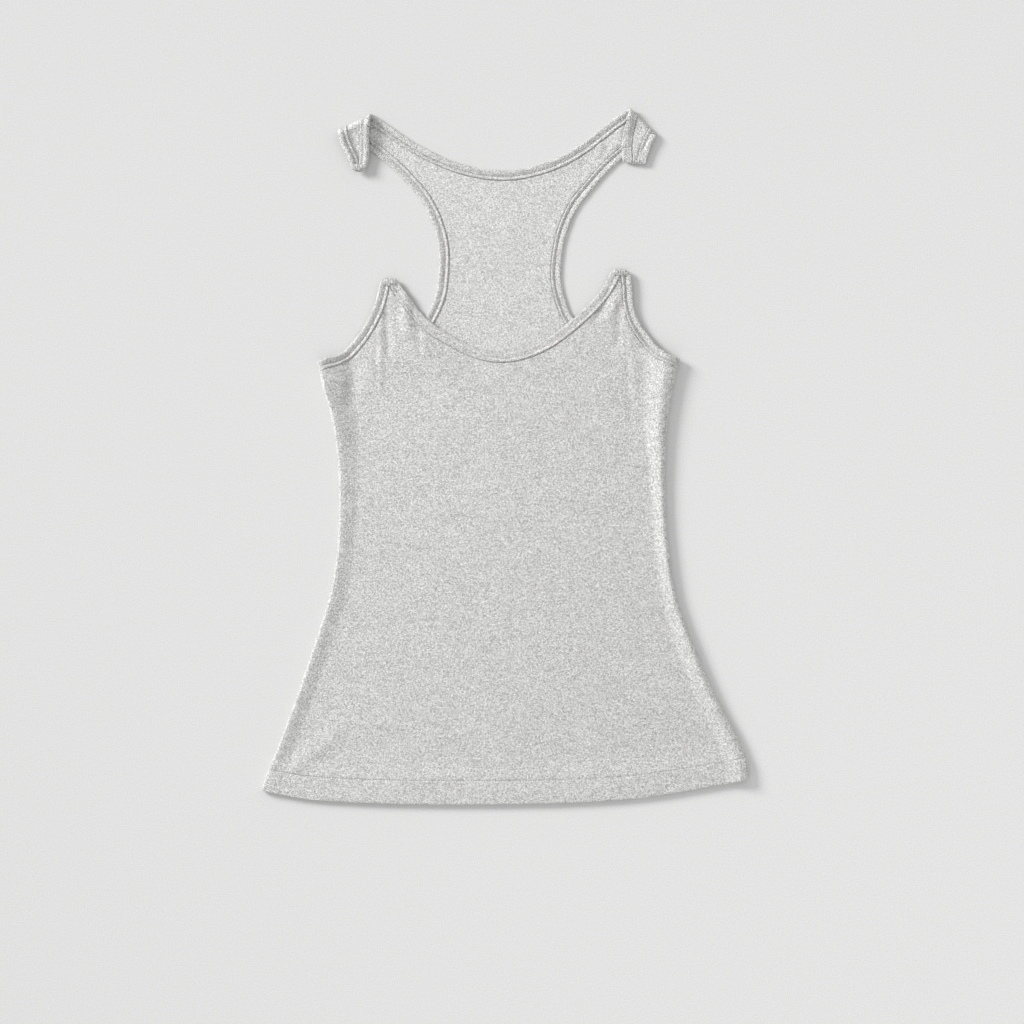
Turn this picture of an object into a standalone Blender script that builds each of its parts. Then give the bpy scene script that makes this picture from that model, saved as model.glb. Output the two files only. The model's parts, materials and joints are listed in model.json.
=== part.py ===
"""Racerback tank top in light jersey, lying on its back panel with the front panel on top and the
ends of both back straps folded forward over themselves.

Lengths are in millimetres until a mesh is made. Heights run up the garment from the lowest point of
the hem. A place on the cloth is (u, height), where u is the distance from the centre line and runs
on along the arc where the cloth rolls round a side, or (arc, height), where arc is measured round
the side from its outermost line, positive over the front and negative over the back.
"""

import bmesh
import bpy
import numpy as np
from mathutils import Vector
from mathutils.geometry import delaunay_2d_cdt

METRES = 0.001
HALF_PI = np.pi / 2

LENGTH = 694.9  # hem to the folded strap ends
WALL = 1.0  # jersey with its loft
HEM_WALL = 1.7  # jersey turned up and stitched
HEM_DEPTH = 24.0
HEM_STEP = 3.0  # height over which the hem thins to the single cloth
HEM_EASE = 12.0  # height over which the front settles above the hem
HEM_LIFT = 1.5  # how far the front hem stands off the back hem
HEM_LIFT_RUN = 45.0
GAP = 0.3  # between layers that rest on each other, and at seams
SEAM_HALF_GAP = 0.15
ROW_TOP = 430.0  # where the rows that follow the hem have become level
STRAP_FROM = 580.0  # above this height there is only the back panel, with no roll

BINDING_HALF = 1.1  # half the thickness of a binding
BINDING_RISE = BINDING_HALF - WALL / 2
BINDING_EASE = 12.0  # how far from a binding the panel comes down to its own level
# a binding's end: length of its rounding, the line it rounds to, share of its width it loses
FRONT_TIP_END = (8.5, 0.5, 0.0)
LEFT_FLAP_END = (6.5, 0.5, 0.3)
RIGHT_FLAP_END = (3.0, 4.8, 0.0)
NARROWING_RUN = 16.0
# out from the panel's edge, half height
BINDING_SECTION = (
    (0.3, 0.80),
    (1.5, 0.95),
    (3.2, 0.62),
    (5.4, BINDING_HALF),
    (8.0, 0.85),
    (9.3, 0.0),
)

UNDER_INSET = 3.0  # radius of the roll's under side
CHEST_LIFT = 1.9  # front panel over the edges of the back armholes
CHEST_RUN = 45.0
TIP_LIFT = 1.0
TIP_RUN = 45.0
FLAP_DROOP = 4.0
FLAP_RUN = 45.0
FLAP_VALLEY = 2.0  # how far the flap sinks between its bindings
FLAP_VALLEY_FROM = 1.6  # level strip beside each binding
FLAP_VALLEY_RUN = 4.5
FLAP_SETTLE = 3.0  # bend radii over which a turned strap takes the flap's form
FOLD_FADE = 6.0  # how soon a soft fold is at its full rise between its ends

# height, side edge, crest inset, crest height, slope run, seam inset
LEFT_SIDE = (
    (14, 243.0, 4.0, 6.0, 18, 3.0),
    (28, 238.4, 3.5, 5.5, 16, 3.0),
    (60, 225.9, 3.5, 5.5, 15, 2.5),
    (100, 211.0, 3.5, 5.5, 15, 2.5),
    (157, 191.3, 3.5, 5.5, 15, 2.5),
    (209, 175.3, 3.5, 5.5, 15, 2.5),
    (252, 168.2, 3.5, 5.5, 15, 2.5),
    (300, 166.0, 3.5, 5.5, 15, 2.5),
    (343, 167.2, 3.5, 5.8, 17, 2.5),
    (388, 174.2, 4.0, 7.0, 24, 2.8),
    (420, 182.9, 4.5, 8.0, 34, 3.0),
    (441, 187.0, 4.5, 8.0, 34, 3.0),
)
RIGHT_SIDE = (
    (24, 242.8, 8.0, 7.5, 26, 7.0),
    (41, 241.2, 8.0, 7.5, 26, 7.0),
    (60, 234.2, 8.0, 7.5, 26, 6.5),
    (100, 213.2, 8.0, 7.5, 26, 6.0),
    (157, 188.0, 7.0, 7.5, 25, 2.0),
    (209, 169.7, 6.0, 7.0, 18, 0.0),
    (252, 163.1, 5.0, 6.5, 14, 0.0),
    (300, 159.2, 5.5, 6.5, 18, 0.0),
    (343, 159.4, 6.5, 7.0, 20, 0.0),
    (388, 162.2, 8.0, 8.0, 26, 3.0),
    (420, 167.5, 10.0, 9.0, 30, 7.0),
    (443, 173.0, 12.0, 9.5, 34, 8.0),
)
# x, height
HEM = (
    (-243, 14.0),
    (-207, 6.5),
    (-157, 2.5),
    (-80, 0.2),
    (0, 0.3),
    (80, 2.5),
    (134, 6.5),
    (184, 14.0),
    (225, 21.5),
    (243, 25.5),
)
# x, height along the front neck edge, with the bindings' run past the tips at both ends
FRONT_NECK = (
    (-115.5, 525.0),
    (-114.2, 517.0),
    (-105, 503),
    (-95.7, 490),
    (-77.5, 471.5),
    (-55, 458),
    (-33, 447),
    (-13, 442.2),
    (1.2, 441.9),
    (24, 446.8),
    (46, 456.9),
    (69, 473.8),
    (92, 495.2),
    (105.5, 512.0),
    (112.6, 526.0),
    (114.5, 534.0),
)
# out from the centre line, height
FRONT_ARMHOLE_LEFT = (
    (177, 436.2),
    (167.2, 439.0),
    (155.7, 445.1),
    (145.5, 455.5),
    (134.5, 470.5),
    (123.5, 492.5),
    (118.0, 511.0),
    (116.1, 525.0),
)
FRONT_ARMHOLE_RIGHT = (
    (165, 438.5),
    (155.5, 443.2),
    (144.0, 451.5),
    (137.0, 460.5),
    (129.5, 470.5),
    (122.5, 484.5),
    (118.2, 502.5),
    (117.2, 518.0),
    (115.1, 534.0),
)
BACK_ARMHOLE_LEFT = (
    (170, 434.5),
    (155.5, 437.5),
    (125.5, 442),
    (99.5, 451.5),
    (81.5, 466.5),
    (70, 485),
    (62, 503),
    (57.5, 533.5),
    (57.5, 554.5),
    (64.5, 583.5),
    (76.5, 607.5),
    (93.5, 628),
    (116.5, 649.5),
    (135.5, 663.5),
)
BACK_ARMHOLE_RIGHT = (
    (145, 438.5),
    (118, 442.5),
    (92, 451),
    (72, 465),
    (58.5, 483.5),
    (51.5, 500.5),
    (47.5, 515.5),
    (46.3, 533.5),
    (48.5, 554.5),
    (54.5, 578.5),
    (65.5, 601.5),
    (81.5, 621.5),
    (96.5, 638.5),
    (114.5, 654.5),
)
# x, height along the back neck edge, between the strap folds
BACK_NECK = (
    (-127, 674.5),
    (-113.5, 665),
    (-87.5, 648.5),
    (-67.5, 638.5),
    (-42.5, 629.5),
    (-16.5, 624.5),
    (9, 624.3),
    (32.5, 629),
    (58.5, 638.5),
    (83.3, 653.5),
    (102.5, 668.5),
    (115.0, 678.0),
)
# out from the centre line, height of the folded flap's panel edges, from the fold to the end
FLAP_ARM_LEFT = (
    (159, 674),
    (156.2, 661),
    (152.3, 653),
    (148.6, 645.5),
    (147.0, 638),
    (146.6, 630.5),
)
FLAP_NECK_LEFT = ((144.8, 678), (144.5, 664), (144.6, 650), (145.6, 638), (146.1, 631))
FLAP_ARM_RIGHT = ((140.8, 668), (136.3, 658.5), (132.8, 647), (130.7, 640))
FLAP_NECK_RIGHT = ((129.5, 682), (127.4, 673), (125.6, 660), (125.4, 649), (126.6, 641))
FOLD_HEIGHT_LEFT = 432.0  # armhole edge where it passes round the side
FOLD_HEIGHT_RIGHT = 435.0
# fold's seen edge: apex and far corner, out from the centre line, height
CREASE_LEFT = ((132.5, 689.5), (167.5, 672.5))
CREASE_RIGHT = ((123.3, 695.8), (149.5, 670.0))
CREASE_RADIUS_LEFT = 4.0
CREASE_RADIUS_RIGHT = 3.5
FRONT_CUT_LEFT = 517.0  # height where the front panel ends between its bindings
FRONT_CUT_RIGHT = 526.5
FLAP_CUT_LEFT = 44.0  # distance past the crease where the back panel ends between its bindings
FLAP_CUT_RIGHT = 40.0
# start x, start height, end x, end height, half width, rise
CHEST_FOLDS = (
    (-119.5, 488, -115, 438, 6, -0.9),
    (-127, 478, -128, 405, 6, 0.7),
    (-107, 515, -103, 455, 8, 1.0),
    (-89.5, 480, -89, 450, 5, -0.7),
    (-79.5, 468, -78, 445, 5, -0.7),
    (107, 516, 86, 474, 6, -0.9),
    (115.5, 503, 111, 452, 6, -0.9),
    (124, 490, 131, 405, 10, 1.0),
)
SKIRT_FOLDS = ((-222, 28, -160, 76, 15, 1.7),)
BACK_FOLDS = ((100, 645, 111, 672, 6, 0.9),)

# from x, to x, from height, to height, column pitch of the grids that carry the chest's folds
FOLD_ZONES = ((-136, -70, 402, 520, 3.2), (80, 146, 402, 520, 3.4))
ZONE_PITCH = 10.0
PANEL_WIDTH = 200.0  # half width that the cloth's rows are evened out to
ROLL_ZONE = 45.0  # part beside each side edge that keeps its own columns
INNER_WIDTH = PANEL_WIDTH - ROLL_ZONE
BODY_GRID = (-120.0, -80.0, -40.0, 0.0, 40.0, 80.0, 120.0)
BODY_ROOM = 24.0
CHEST_PITCH = 12.0
ROLL_ROOM = 1.6
BEND_ROOM = 2.2
STRAP_PITCH = 6.0
STRAP_REACH = 48.0
FLAP_STEPS = (6.0, 13.0, 21.0, 30.0)
SEAM_ROOM = 1.2  # least distance of a roll's column from the seam
SEAM_TOP_ROOM = 5.0  # least distance of a row from the seam's upper end
CUT_ROOM = 1.0  # least distance of an edge's points from its cut
OUTLINE_SHARE = 0.45  # least distance of an inner point from the outline, in spacings
NEAR_SHARE = 0.75  # least distance between inner points, in spacings
FOLD_ENDS = (0.05, 0.95)  # shares of a fold's length that its points run between
FOLD_ACROSS = (0.0, -0.5, 0.5, -1.0, 1.0)  # a fold's points, in half widths
FOLD_PITCH = 1.2  # along a fold, in half widths
FOLD_ROOM = 0.4
SETTLE = 6  # rounds in which a row finds its place
FAR_BEFORE = -100.0  # stands for any place well short of a crease
CREASE_APPROACH = -10.0
ROWS = (
    0, 12, 22.5, 26.5, 38, 56, 78, 102, 128, 154, 180, 206, 232, 258, 284, 308, 330, 350, 368,
    384, 398, 410, 420, 429,
)
# share of the roll's quarter turn, share of the slope inside its crest
FRONT_ROLL = (
    (0.0, 0.0),
    (0.33, 0.0),
    (0.67, 0.0),
    (1.0, 0.0),
    (1.0, 0.18),
    (1.0, 0.36),
    (1.0, 0.55),
    (1.0, 0.75),
    (1.0, 1.0),
)
# share of the roll's quarter turn over the top, arc run back underneath
BACK_ROLL = (
    (0.67, 0.0),
    (0.33, 0.0),
    (0.0, 0.0),
    (0.0, 1.6),
    (0.0, 3.2),
    (0.0, 4.8),
    (0.0, 16.0),
)
BEND_STEPS = 7
EDGE_SPACING = 10.0
UNDERARM_SPACING = 2.1
UNDERARM_ARC = 9.0
UNDERARM_CURVE = 60.0
CURVE_SPACING = 6.0
FLAP_FROM = 690.0  # above this height the drawn-out straps are the flaps
END_STEPS = (0.05, 0.2, 0.5, 1.0)  # rings of a binding's rounded end, as shares of its length
END_ROOM = 2.0
SHARP = 0.7
ROUGHNESS = 0.9

HEATHER = (0.62, 0.62, 0.605, 1.0)
BINDING_HEATHER = (0.60, 0.60, 0.585, 1.0)


def ramp(t):
    t = np.clip(t, 0.0, 1.0)
    return t * t * (3.0 - 2.0 * t)


def through(knots, values, at):
    """Smooth curve through values at rising knots, held level past the ends."""
    knots = np.asarray(knots, float)
    values = np.asarray(values, float)
    at = np.clip(np.asarray(at, float), knots[0], knots[-1])
    slopes = np.gradient(values, knots, axis=0)
    low = np.clip(np.searchsorted(knots, at, side="right") - 1, 0, len(knots) - 2)
    span = knots[low + 1] - knots[low]
    t = (at - knots[low]) / span
    if values.ndim > 1:
        t = t[..., None]
        span = span[..., None]
    keep = 1.0 + t * t * (2.0 * t - 3.0)
    start = t * (t - 1.0) ** 2
    end = t * t * (t - 1.0)
    return (
        keep * values[low]
        + (1.0 - keep) * values[low + 1]
        + span * (start * slopes[low] + end * slopes[low + 1])
    )


def along(line):
    """Distance run at each point of a line."""
    return np.concatenate([[0.0], np.cumsum(np.linalg.norm(np.diff(line, axis=0), axis=1))])


def dense(points, step=1.0):
    """Smooth line through the points, in steps of about this length."""
    points = np.asarray(points, float)
    run = along(points)
    return through(run, points, np.linspace(0.0, run[-1], int(run[-1] / step) + 2))


def at_run(line, where):
    run = along(line)
    return np.stack([np.interp(where, run, line[:, k]) for k in range(2)], axis=1)


def depth(points, line, inside):
    """Distance from a line, positive on the side where the panel is."""
    start = line[:-1]
    step = np.diff(line, axis=0)
    from_start = points[:, None, :] - start[None]
    t = np.clip((from_start * step).sum(2) / (step * step).sum(1), 0.0, 1.0)
    off = from_start - t[..., None] * step
    nearest = np.argmin((off * off).sum(2), axis=1)
    rows = np.arange(len(points))
    gap = off[rows, nearest]
    turn = step[nearest, 0] * gap[:, 1] - step[nearest, 1] * gap[:, 0]
    return inside * np.where(turn < 0, -1.0, 1.0) * np.linalg.norm(gap, axis=1)


def hem_height(x):
    hem = np.array(HEM, float)
    return through(hem[:, 0], hem[:, 1], x)


def above_hem(x, height):
    low = hem_height(x)
    return (height - low) / (1.0 - low / ROW_TOP)


def row_height(x, row):
    """Height at which a row passes here."""
    return hem_height(x) * (1.0 - row / ROW_TOP) + row


def wall(x, height):
    """Thickness of a panel."""
    up = above_hem(x, height)
    return WALL + (HEM_WALL - WALL) * (1.0 - ramp((up - HEM_DEPTH + HEM_STEP / 2) / HEM_STEP))


def folds(table, x, height):
    """Rise of the soft folds and troughs of a table."""
    rise = np.zeros(len(x))
    for x0, h0, x1, h1, half_width, peak in table:
        length = np.hypot(x1 - x0, h1 - h0)
        run = ((x - x0) * (x1 - x0) + (height - h0) * (h1 - h0)) / length
        across = ((x - x0) * (h1 - h0) - (height - h0) * (x1 - x0)) / length
        share = np.clip(run / length, 0.0, 1.0)
        fade = ramp(FOLD_FADE * share * (1.0 - share))
        rise += peak * (1.0 - ramp(np.abs(across) / half_width)) * fade
    return rise


def in_front(arc, height):
    """Whether a place round the side is on the front."""
    return (arc >= 0) & (height < STRAP_FROM)


class Side:
    """One side of the garment, with distances measured out from the centre line."""

    def __init__(self, sign, rows, fold_height, front, back, flap_arm, flap_neck, crease, radius):
        self.sign = sign
        self.rows = np.array(rows, float)
        up = self.rows[:, 2] * HALF_PI
        turn = np.arccos(1.0 - self.rows[:, 5] / self.rows[:, 2]) / HALF_PI
        self.seam = up * turn
        apex, corner = np.array(crease, float)
        way = (corner - apex) / np.linalg.norm(corner - apex)
        self.out = np.array([-way[1], way[0]])
        if self.out[1] < 0:
            self.out = -self.out
        self.radius = radius
        self.crease = apex - (radius + BINDING_HALF) * self.out
        self.lay_way = way
        flap_arm = self.unfold(np.array(flap_arm, float))
        self.flap_neck = self.unfold(np.array(flap_neck, float))
        self.front_line = self.arcs(np.array(front, float), True)
        self.back_line = np.vstack([np.array(back, float), flap_arm])
        back_arcs = self.arcs(self.back_line, False)
        self.armhole = dense(
            np.vstack([self.front_line[::-1], [[0.0, fold_height]], back_arcs])
        )
        # the armhole's edge on the back panel alone, as (u, height)
        behind = self.armhole[~in_front(self.armhole[:, 0], self.armhole[:, 1])]
        u = self.back_u(behind[:, 0], behind[:, 1])
        self.back_edge = np.stack([self.sign * u, behind[:, 1]], axis=1)

    def shape(self, height):
        """Edge, crest inset, crest height and slope run at these heights."""
        values = through(self.rows[:, 0], self.rows[:, 1:5], height)
        return values[..., 0], values[..., 1], values[..., 2], values[..., 3]

    def seam_arc(self, height):
        return np.maximum(through(self.rows[:, 0], self.seam, height), 0.0)

    def arcs(self, points, front):
        """(arc, height) of points seen from above on the front or on the back."""
        edge, inset, _, _ = self.shape(points[:, 1])
        if not front:
            inset = np.full(len(points), UNDER_INSET)
        back_off = edge - points[:, 0]
        turn = np.arccos(np.clip(1.0 - back_off / inset, 0.0, 1.0))
        flat = (back_off > inset) | (points[:, 1] > STRAP_FROM)
        arc = np.where(flat, inset * HALF_PI + back_off - inset, inset * turn)
        return np.stack([arc if front else -arc, points[:, 1]], axis=1)

    def unfold(self, points):
        """Where points of the laid flap are on the strap drawn out flat."""
        out = (points - self.crease) @ self.out
        curve = np.arcsin(np.clip(out / (self.radius + BINDING_HALF), 0.0, 1.0)) * self.radius
        run = np.pi * self.radius - np.where(out > 0, curve, out)
        return points + (run - out)[:, None] * self.out

    def front_u(self, arc, height):
        edge, inset, _, _ = self.shape(height)
        return edge - inset + inset * HALF_PI - arc

    def back_u(self, arc, height):
        edge = self.shape(height)[0]
        return edge - UNDER_INSET + UNDER_INSET * HALF_PI + arc

    def past_crease(self, out, height):
        return (out - self.crease[0]) * self.out[0] + (height - self.crease[1]) * self.out[1]

    def place(self, arc, height):
        """Points of the middle of the cloth, in space."""
        edge, inset, crest, run = self.shape(height)
        front = in_front(arc, height)
        radius = np.where(front, inset, UNDER_INSET)
        turn = np.clip(np.abs(arc) / radius, 0.0, HALF_PI)
        flat = np.maximum(np.abs(arc) - radius * HALF_PI, 0.0)
        out = edge - radius * (1.0 - np.cos(turn)) - flat
        strap = height > STRAP_FROM
        out = np.where(strap, self.back_u(arc, height), out)
        turn = np.where(strap, HALF_PI, turn)
        x = self.sign * out
        middle = crest / 2
        over = front_level(x, height)
        under = back_level(x, height)
        z = np.where(
            front,
            middle + (crest - middle) * np.sin(turn) + (over - crest) * ramp(flat / run),
            middle - (middle - under) * np.sin(turn),
        )
        past = self.past_crease(out, height)
        folded = (past > 0) & ~front
        angle = np.clip(past / self.radius, 0.0, np.pi)
        beyond = np.maximum(past - np.pi * self.radius, 0.0)
        reach = self.radius + BINDING_HALF - z
        shift = np.where(folded, reach * np.sin(angle) - beyond - past, 0.0)
        drop = FLAP_DROOP * ramp(beyond / FLAP_RUN)
        z = np.where(folded, BINDING_HALF + self.radius - reach * np.cos(angle) - drop, z)
        out = out + shift * self.out[0]
        height = height + shift * self.out[1]
        return np.stack([self.sign * out, height, z], axis=1)


def front_level(x, height):
    """Height of the middle of the front panel away from the side rolls."""
    up = above_hem(x, height)
    thick = WALL + (HEM_WALL - WALL) * (1.0 - ramp((up - HEM_DEPTH - HEM_STEP) / HEM_EASE))
    here = np.stack([x, height], axis=1)
    neck = BINDING_RISE * (1.0 - ramp(depth(here, FRONT_NECK_LINE, -1.0) / BINDING_EASE))
    chest = np.zeros(len(x))
    tip = np.zeros(len(x))
    for side, cut in zip(SIDES, (FRONT_CUT_LEFT, FRONT_CUT_RIGHT)):
        mine = side.sign * x > 0
        if not mine.any():
            continue
        hole = depth(here[mine], side.back_edge, side.sign)
        chest[mine] = CHEST_LIFT * (1.0 - ramp(hole / CHEST_RUN))
        end = at_height(FRONT_NECK_LINE if side.sign < 0 else FRONT_NECK_LINE[::-1], cut)
        tip[mine] = TIP_LIFT * (1.0 - ramp(np.hypot(*(here[mine] - end).T) / TIP_RUN))
    lift = HEM_LIFT * (1.0 - ramp(up / HEM_LIFT_RUN))
    return 1.5 * thick + GAP + lift + np.hypot(neck, chest) + tip + folds(CHEST_FOLDS + SKIRT_FOLDS, x, height)


def back_level(x, height):
    """Height of the middle of the back panel, drawn out flat."""
    here = np.stack([x, height], axis=1)
    inside = depth(here, BACK_NECK_LINE, -1.0)
    flap = np.zeros(len(x))
    for side in SIDES:
        mine = side.sign * x > 0
        if not mine.any():
            continue
        inside[mine] = np.minimum(inside[mine], depth(here[mine], side.back_edge, side.sign))
        past = side.past_crease(np.abs(x[mine]), height[mine])
        flap[mine] = ramp((past - side.radius * HALF_PI) / (side.radius * FLAP_SETTLE))
    laid = BINDING_RISE * (1.0 - ramp(inside / BINDING_EASE)) + folds(BACK_FOLDS, x, height)
    turned = BINDING_RISE + FLAP_VALLEY * ramp((inside - FLAP_VALLEY_FROM) / FLAP_VALLEY_RUN)
    return wall(x, height) / 2 + laid + flap * (turned - laid)


def at_height(line, height):
    """First point of a line where it comes down to this height."""
    first = np.argmax(line[:, 1] <= height)
    return line[first]


LEFT = Side(
    -1, LEFT_SIDE, FOLD_HEIGHT_LEFT, FRONT_ARMHOLE_LEFT, BACK_ARMHOLE_LEFT,
    FLAP_ARM_LEFT, FLAP_NECK_LEFT, CREASE_LEFT, CREASE_RADIUS_LEFT,
)
RIGHT = Side(
    1, RIGHT_SIDE, FOLD_HEIGHT_RIGHT, FRONT_ARMHOLE_RIGHT, BACK_ARMHOLE_RIGHT,
    FLAP_ARM_RIGHT, FLAP_NECK_RIGHT, CREASE_RIGHT, CREASE_RADIUS_RIGHT,
)
SIDES = (LEFT, RIGHT)
FRONT_NECK_LINE = dense(FRONT_NECK)
BACK_NECK_LINE = dense(
    np.vstack([LEFT.flap_neck[::-1] * (-1, 1), np.array(BACK_NECK, float), RIGHT.flap_neck])
)


def front_point(points):
    """Front panel: (u, height) to space."""
    placed = np.empty((len(points), 3))
    for side in SIDES:
        mine = points[:, 0] >= 0 if side.sign > 0 else points[:, 0] < 0
        u, height = np.abs(points[mine, 0]), points[mine, 1]
        placed[mine] = side.place(side.front_u(0.0, height) - u, height)
    return placed


def back_point(points):
    """Back panel: (u, height) to space."""
    placed = np.empty((len(points), 3))
    for side in SIDES:
        mine = points[:, 0] >= 0 if side.sign > 0 else points[:, 0] < 0
        u, height = np.abs(points[mine, 0]), points[mine, 1]
        placed[mine] = side.place(u - side.back_u(0.0, height), height)
    return placed


def slopes_of(place, points, step=0.05):
    """How the placed cloth runs with each of its two coordinates."""
    first = np.array([step, 0.0])
    second = np.array([0.0, step])
    return (
        (place(points + first) - place(points - first)) / (2 * step),
        (place(points + second) - place(points - second)) / (2 * step),
    )


def facing(place, points):
    across, up = slopes_of(place, points)
    normal = np.cross(across, up)
    return normal / np.linalg.norm(normal, axis=1)[:, None]


def stations(line, spacing, exact=()):
    """Runs along a line, spaced as the function asks, with these runs among them."""
    run = along(line)
    pace = 1.0 / spacing(line)
    count = np.concatenate([[0.0], np.cumsum(np.diff(run) * (pace[1:] + pace[:-1]) / 2)])
    steps = int(np.ceil(count[-1]))
    runs = np.interp(np.linspace(0.0, count[-1], steps + 1), count, run)
    if len(exact) == 0:
        return runs
    exact = np.asarray(exact)
    room = 0.5 * np.interp(runs, run, 1.0 / pace)
    clear = np.abs(runs[:, None] - exact[None]).min(1) > room
    return np.sort(np.concatenate([runs[clear], exact]))


def armhole_spacing(line):
    arc = np.where(line[:, 1] > STRAP_FROM, np.inf, np.abs(line[:, 0]))
    tight = ramp((arc - UNDERARM_ARC) / UNDERARM_ARC)
    wide = ramp((arc - UNDERARM_CURVE) / UNDERARM_CURVE) * (line[:, 1] < FLAP_FROM)
    return (
        UNDERARM_SPACING
        + (CURVE_SPACING - UNDERARM_SPACING) * tight
        + (EDGE_SPACING - CURVE_SPACING) * wide
    )


def front_neck_spacing(line):
    return np.full(len(line), EDGE_SPACING)


def back_neck_spacing(line):
    return np.where(line[:, 1] < FLAP_FROM, EDGE_SPACING, CURVE_SPACING)


def bend_runs(line, side, past):
    """Runs along a line at the steps of the strap's bend."""
    run = along(line)
    wanted = np.linspace(0.0, np.pi * side.radius, BEND_STEPS + 1)
    rising = past[-1] > past[0]
    order = slice(None) if rising else slice(None, None, -1)
    last = past[order]
    from_low = np.argmax(last > CREASE_APPROACH)
    return np.interp(wanted, last[from_low:], run[order][from_low:])


def armhole_runs(side):
    line = side.armhole
    u = side.back_u(line[:, 0], line[:, 1])
    past = np.where(line[:, 1] > STRAP_FROM, side.past_crease(u, line[:, 1]), FAR_BEFORE)
    return stations(line, armhole_spacing, bend_runs(line, side, past))


def back_neck_runs():
    line = BACK_NECK_LINE
    exact = []
    for side in SIDES:
        mine = side.sign * line[:, 0] > 0
        past = side.past_crease(np.abs(line[:, 0]), line[:, 1])
        past = np.where(mine, past, FAR_BEFORE)
        exact.extend(bend_runs(line, side, past))
    return stations(line, back_neck_spacing, exact)


def even_out(points, edge_u):
    """Panel points on a chart where the columns beside the sides run straight up."""
    sign = np.where(points[:, 0] < 0, -1.0, 1.0)
    u = np.abs(points[:, 0])
    inner = edge_u(points) - ROLL_ZONE
    width = np.where(u > inner, INNER_WIDTH + u - inner, u / inner * INNER_WIDTH)
    return np.stack([sign * width, above_hem(points[:, 0], points[:, 1])], axis=1)


def from_even(points, edge_u):
    """The panel points that even_out puts here."""
    sign = np.where(points[:, 0] < 0, -1.0, 1.0)
    width = np.abs(points[:, 0])
    placed = points.copy()
    for _ in range(SETTLE):
        inner = edge_u(placed) - ROLL_ZONE
        rolled = width > INNER_WIDTH
        u = np.where(rolled, inner + width - INNER_WIDTH, width / INNER_WIDTH * inner)
        placed = np.stack([sign * u, row_height(sign * u, points[:, 1])], axis=1)
    return placed


def front_edge_u(points):
    return np.where(
        points[:, 0] < 0, LEFT.front_u(0.0, points[:, 1]), RIGHT.front_u(0.0, points[:, 1])
    )


def back_edge_u(points):
    return np.where(
        points[:, 0] < 0, LEFT.back_u(0.0, points[:, 1]), RIGHT.back_u(0.0, points[:, 1])
    )


def within(points, outline):
    """Which points an outline encloses."""
    x, y = points[:, 0][:, None], points[:, 1][:, None]
    x0, y0 = outline[:, 0][None], outline[:, 1][None]
    x1, y1 = np.roll(outline[:, 0], -1)[None], np.roll(outline[:, 1], -1)[None]
    crosses = (y0 > y) != (y1 > y)
    rise = np.where(y1 == y0, 1.0, y1 - y0)
    hits = crosses & (x < x0 + (y - y0) / rise * (x1 - x0))
    return hits.sum(1) % 2 == 1


def clear_of(points, outline):
    """Distance of each point from an outline."""
    closed = np.vstack([outline, outline[:1]])
    return np.abs(depth(points, closed, 1.0))


def spread(candidates, spacing, outline):
    """The candidates inside an outline that keep their spacing from it and from each other."""
    inside = within(candidates, outline) & (
        clear_of(candidates, outline) > OUTLINE_SHARE * spacing
    )
    candidates, spacing = candidates[inside], spacing[inside]
    taken = np.empty_like(candidates)
    count = 0
    for point, room in zip(candidates, spacing):
        if count and np.hypot(*(taken[:count] - point).T).min() < NEAR_SHARE * room:
            continue
        taken[count] = point
        count += 1
    return taken[:count]


def fold_points(table):
    """Points that carry the soft folds of a table, and their spacing."""
    points, rooms = [], []
    for x0, h0, x1, h1, half_width, _ in table:
        length = np.hypot(x1 - x0, h1 - h0)
        way = np.array([x1 - x0, h1 - h0]) / length
        side_way = np.array([way[1], -way[0]])
        for run in np.linspace(*FOLD_ENDS, max(4, int(length / (FOLD_PITCH * half_width)))):
            for across in FOLD_ACROSS:
                points.append((x0, h0) + run * length * way + across * half_width * side_way)
                rooms.append(FOLD_ROOM * half_width)
    return np.array(points), np.array(rooms)


def grid_points(columns, rows, room):
    """Points of a grid of evened-out columns and rows, and their spacing."""
    grid = np.stack(np.meshgrid(columns, rows), axis=2).reshape(-1, 2)
    return grid, np.full(len(grid), room)


def roll_row(side, row, on_front):
    """Points of one row round a side's roll, from the seam inwards."""
    table = np.array(FRONT_ROLL if on_front else BACK_ROLL)
    height = np.full(len(table), float(row))
    for _ in range(SETTLE):
        _, inset, _, run = side.shape(height)
        up = inset * HALF_PI * table[:, 0]
        arc = up + run * table[:, 1] if on_front else up - table[:, 1]
        u = side.front_u(arc, height) if on_front else side.back_u(arc, height)
        height = row_height(side.sign * u, row)
    clear = arc - side.seam_arc(height)
    keep = clear > SEAM_ROOM if on_front else clear < -SEAM_ROOM
    return np.stack([side.sign * u, height], axis=1)[keep]


def seam_points(side, on_front):
    """A side seam's line on one panel from the hem to the armhole, and the arc where it ends."""
    offset = SEAM_HALF_GAP if on_front else -SEAM_HALF_GAP
    to_u = side.front_u if on_front else side.back_u
    line = side.armhole
    beyond = line[:, 0] - side.seam_arc(line[:, 1]) - offset
    cross = np.argmax(beyond <= 0)
    share = beyond[cross - 1] / (beyond[cross - 1] - beyond[cross])
    top = line[cross - 1] + share * (line[cross] - line[cross - 1])
    rows = np.array([row for row in ROWS if row < top[1] - SEAM_TOP_ROOM], float)
    height = rows
    for _ in range(SETTLE):
        u = to_u(side.seam_arc(height) + offset, height)
        height = row_height(side.sign * u, rows)
    u = np.append(u, to_u(top[0], top[1:]))
    return np.stack([side.sign * u, np.append(height, top[1])], axis=1), top[0]


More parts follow.
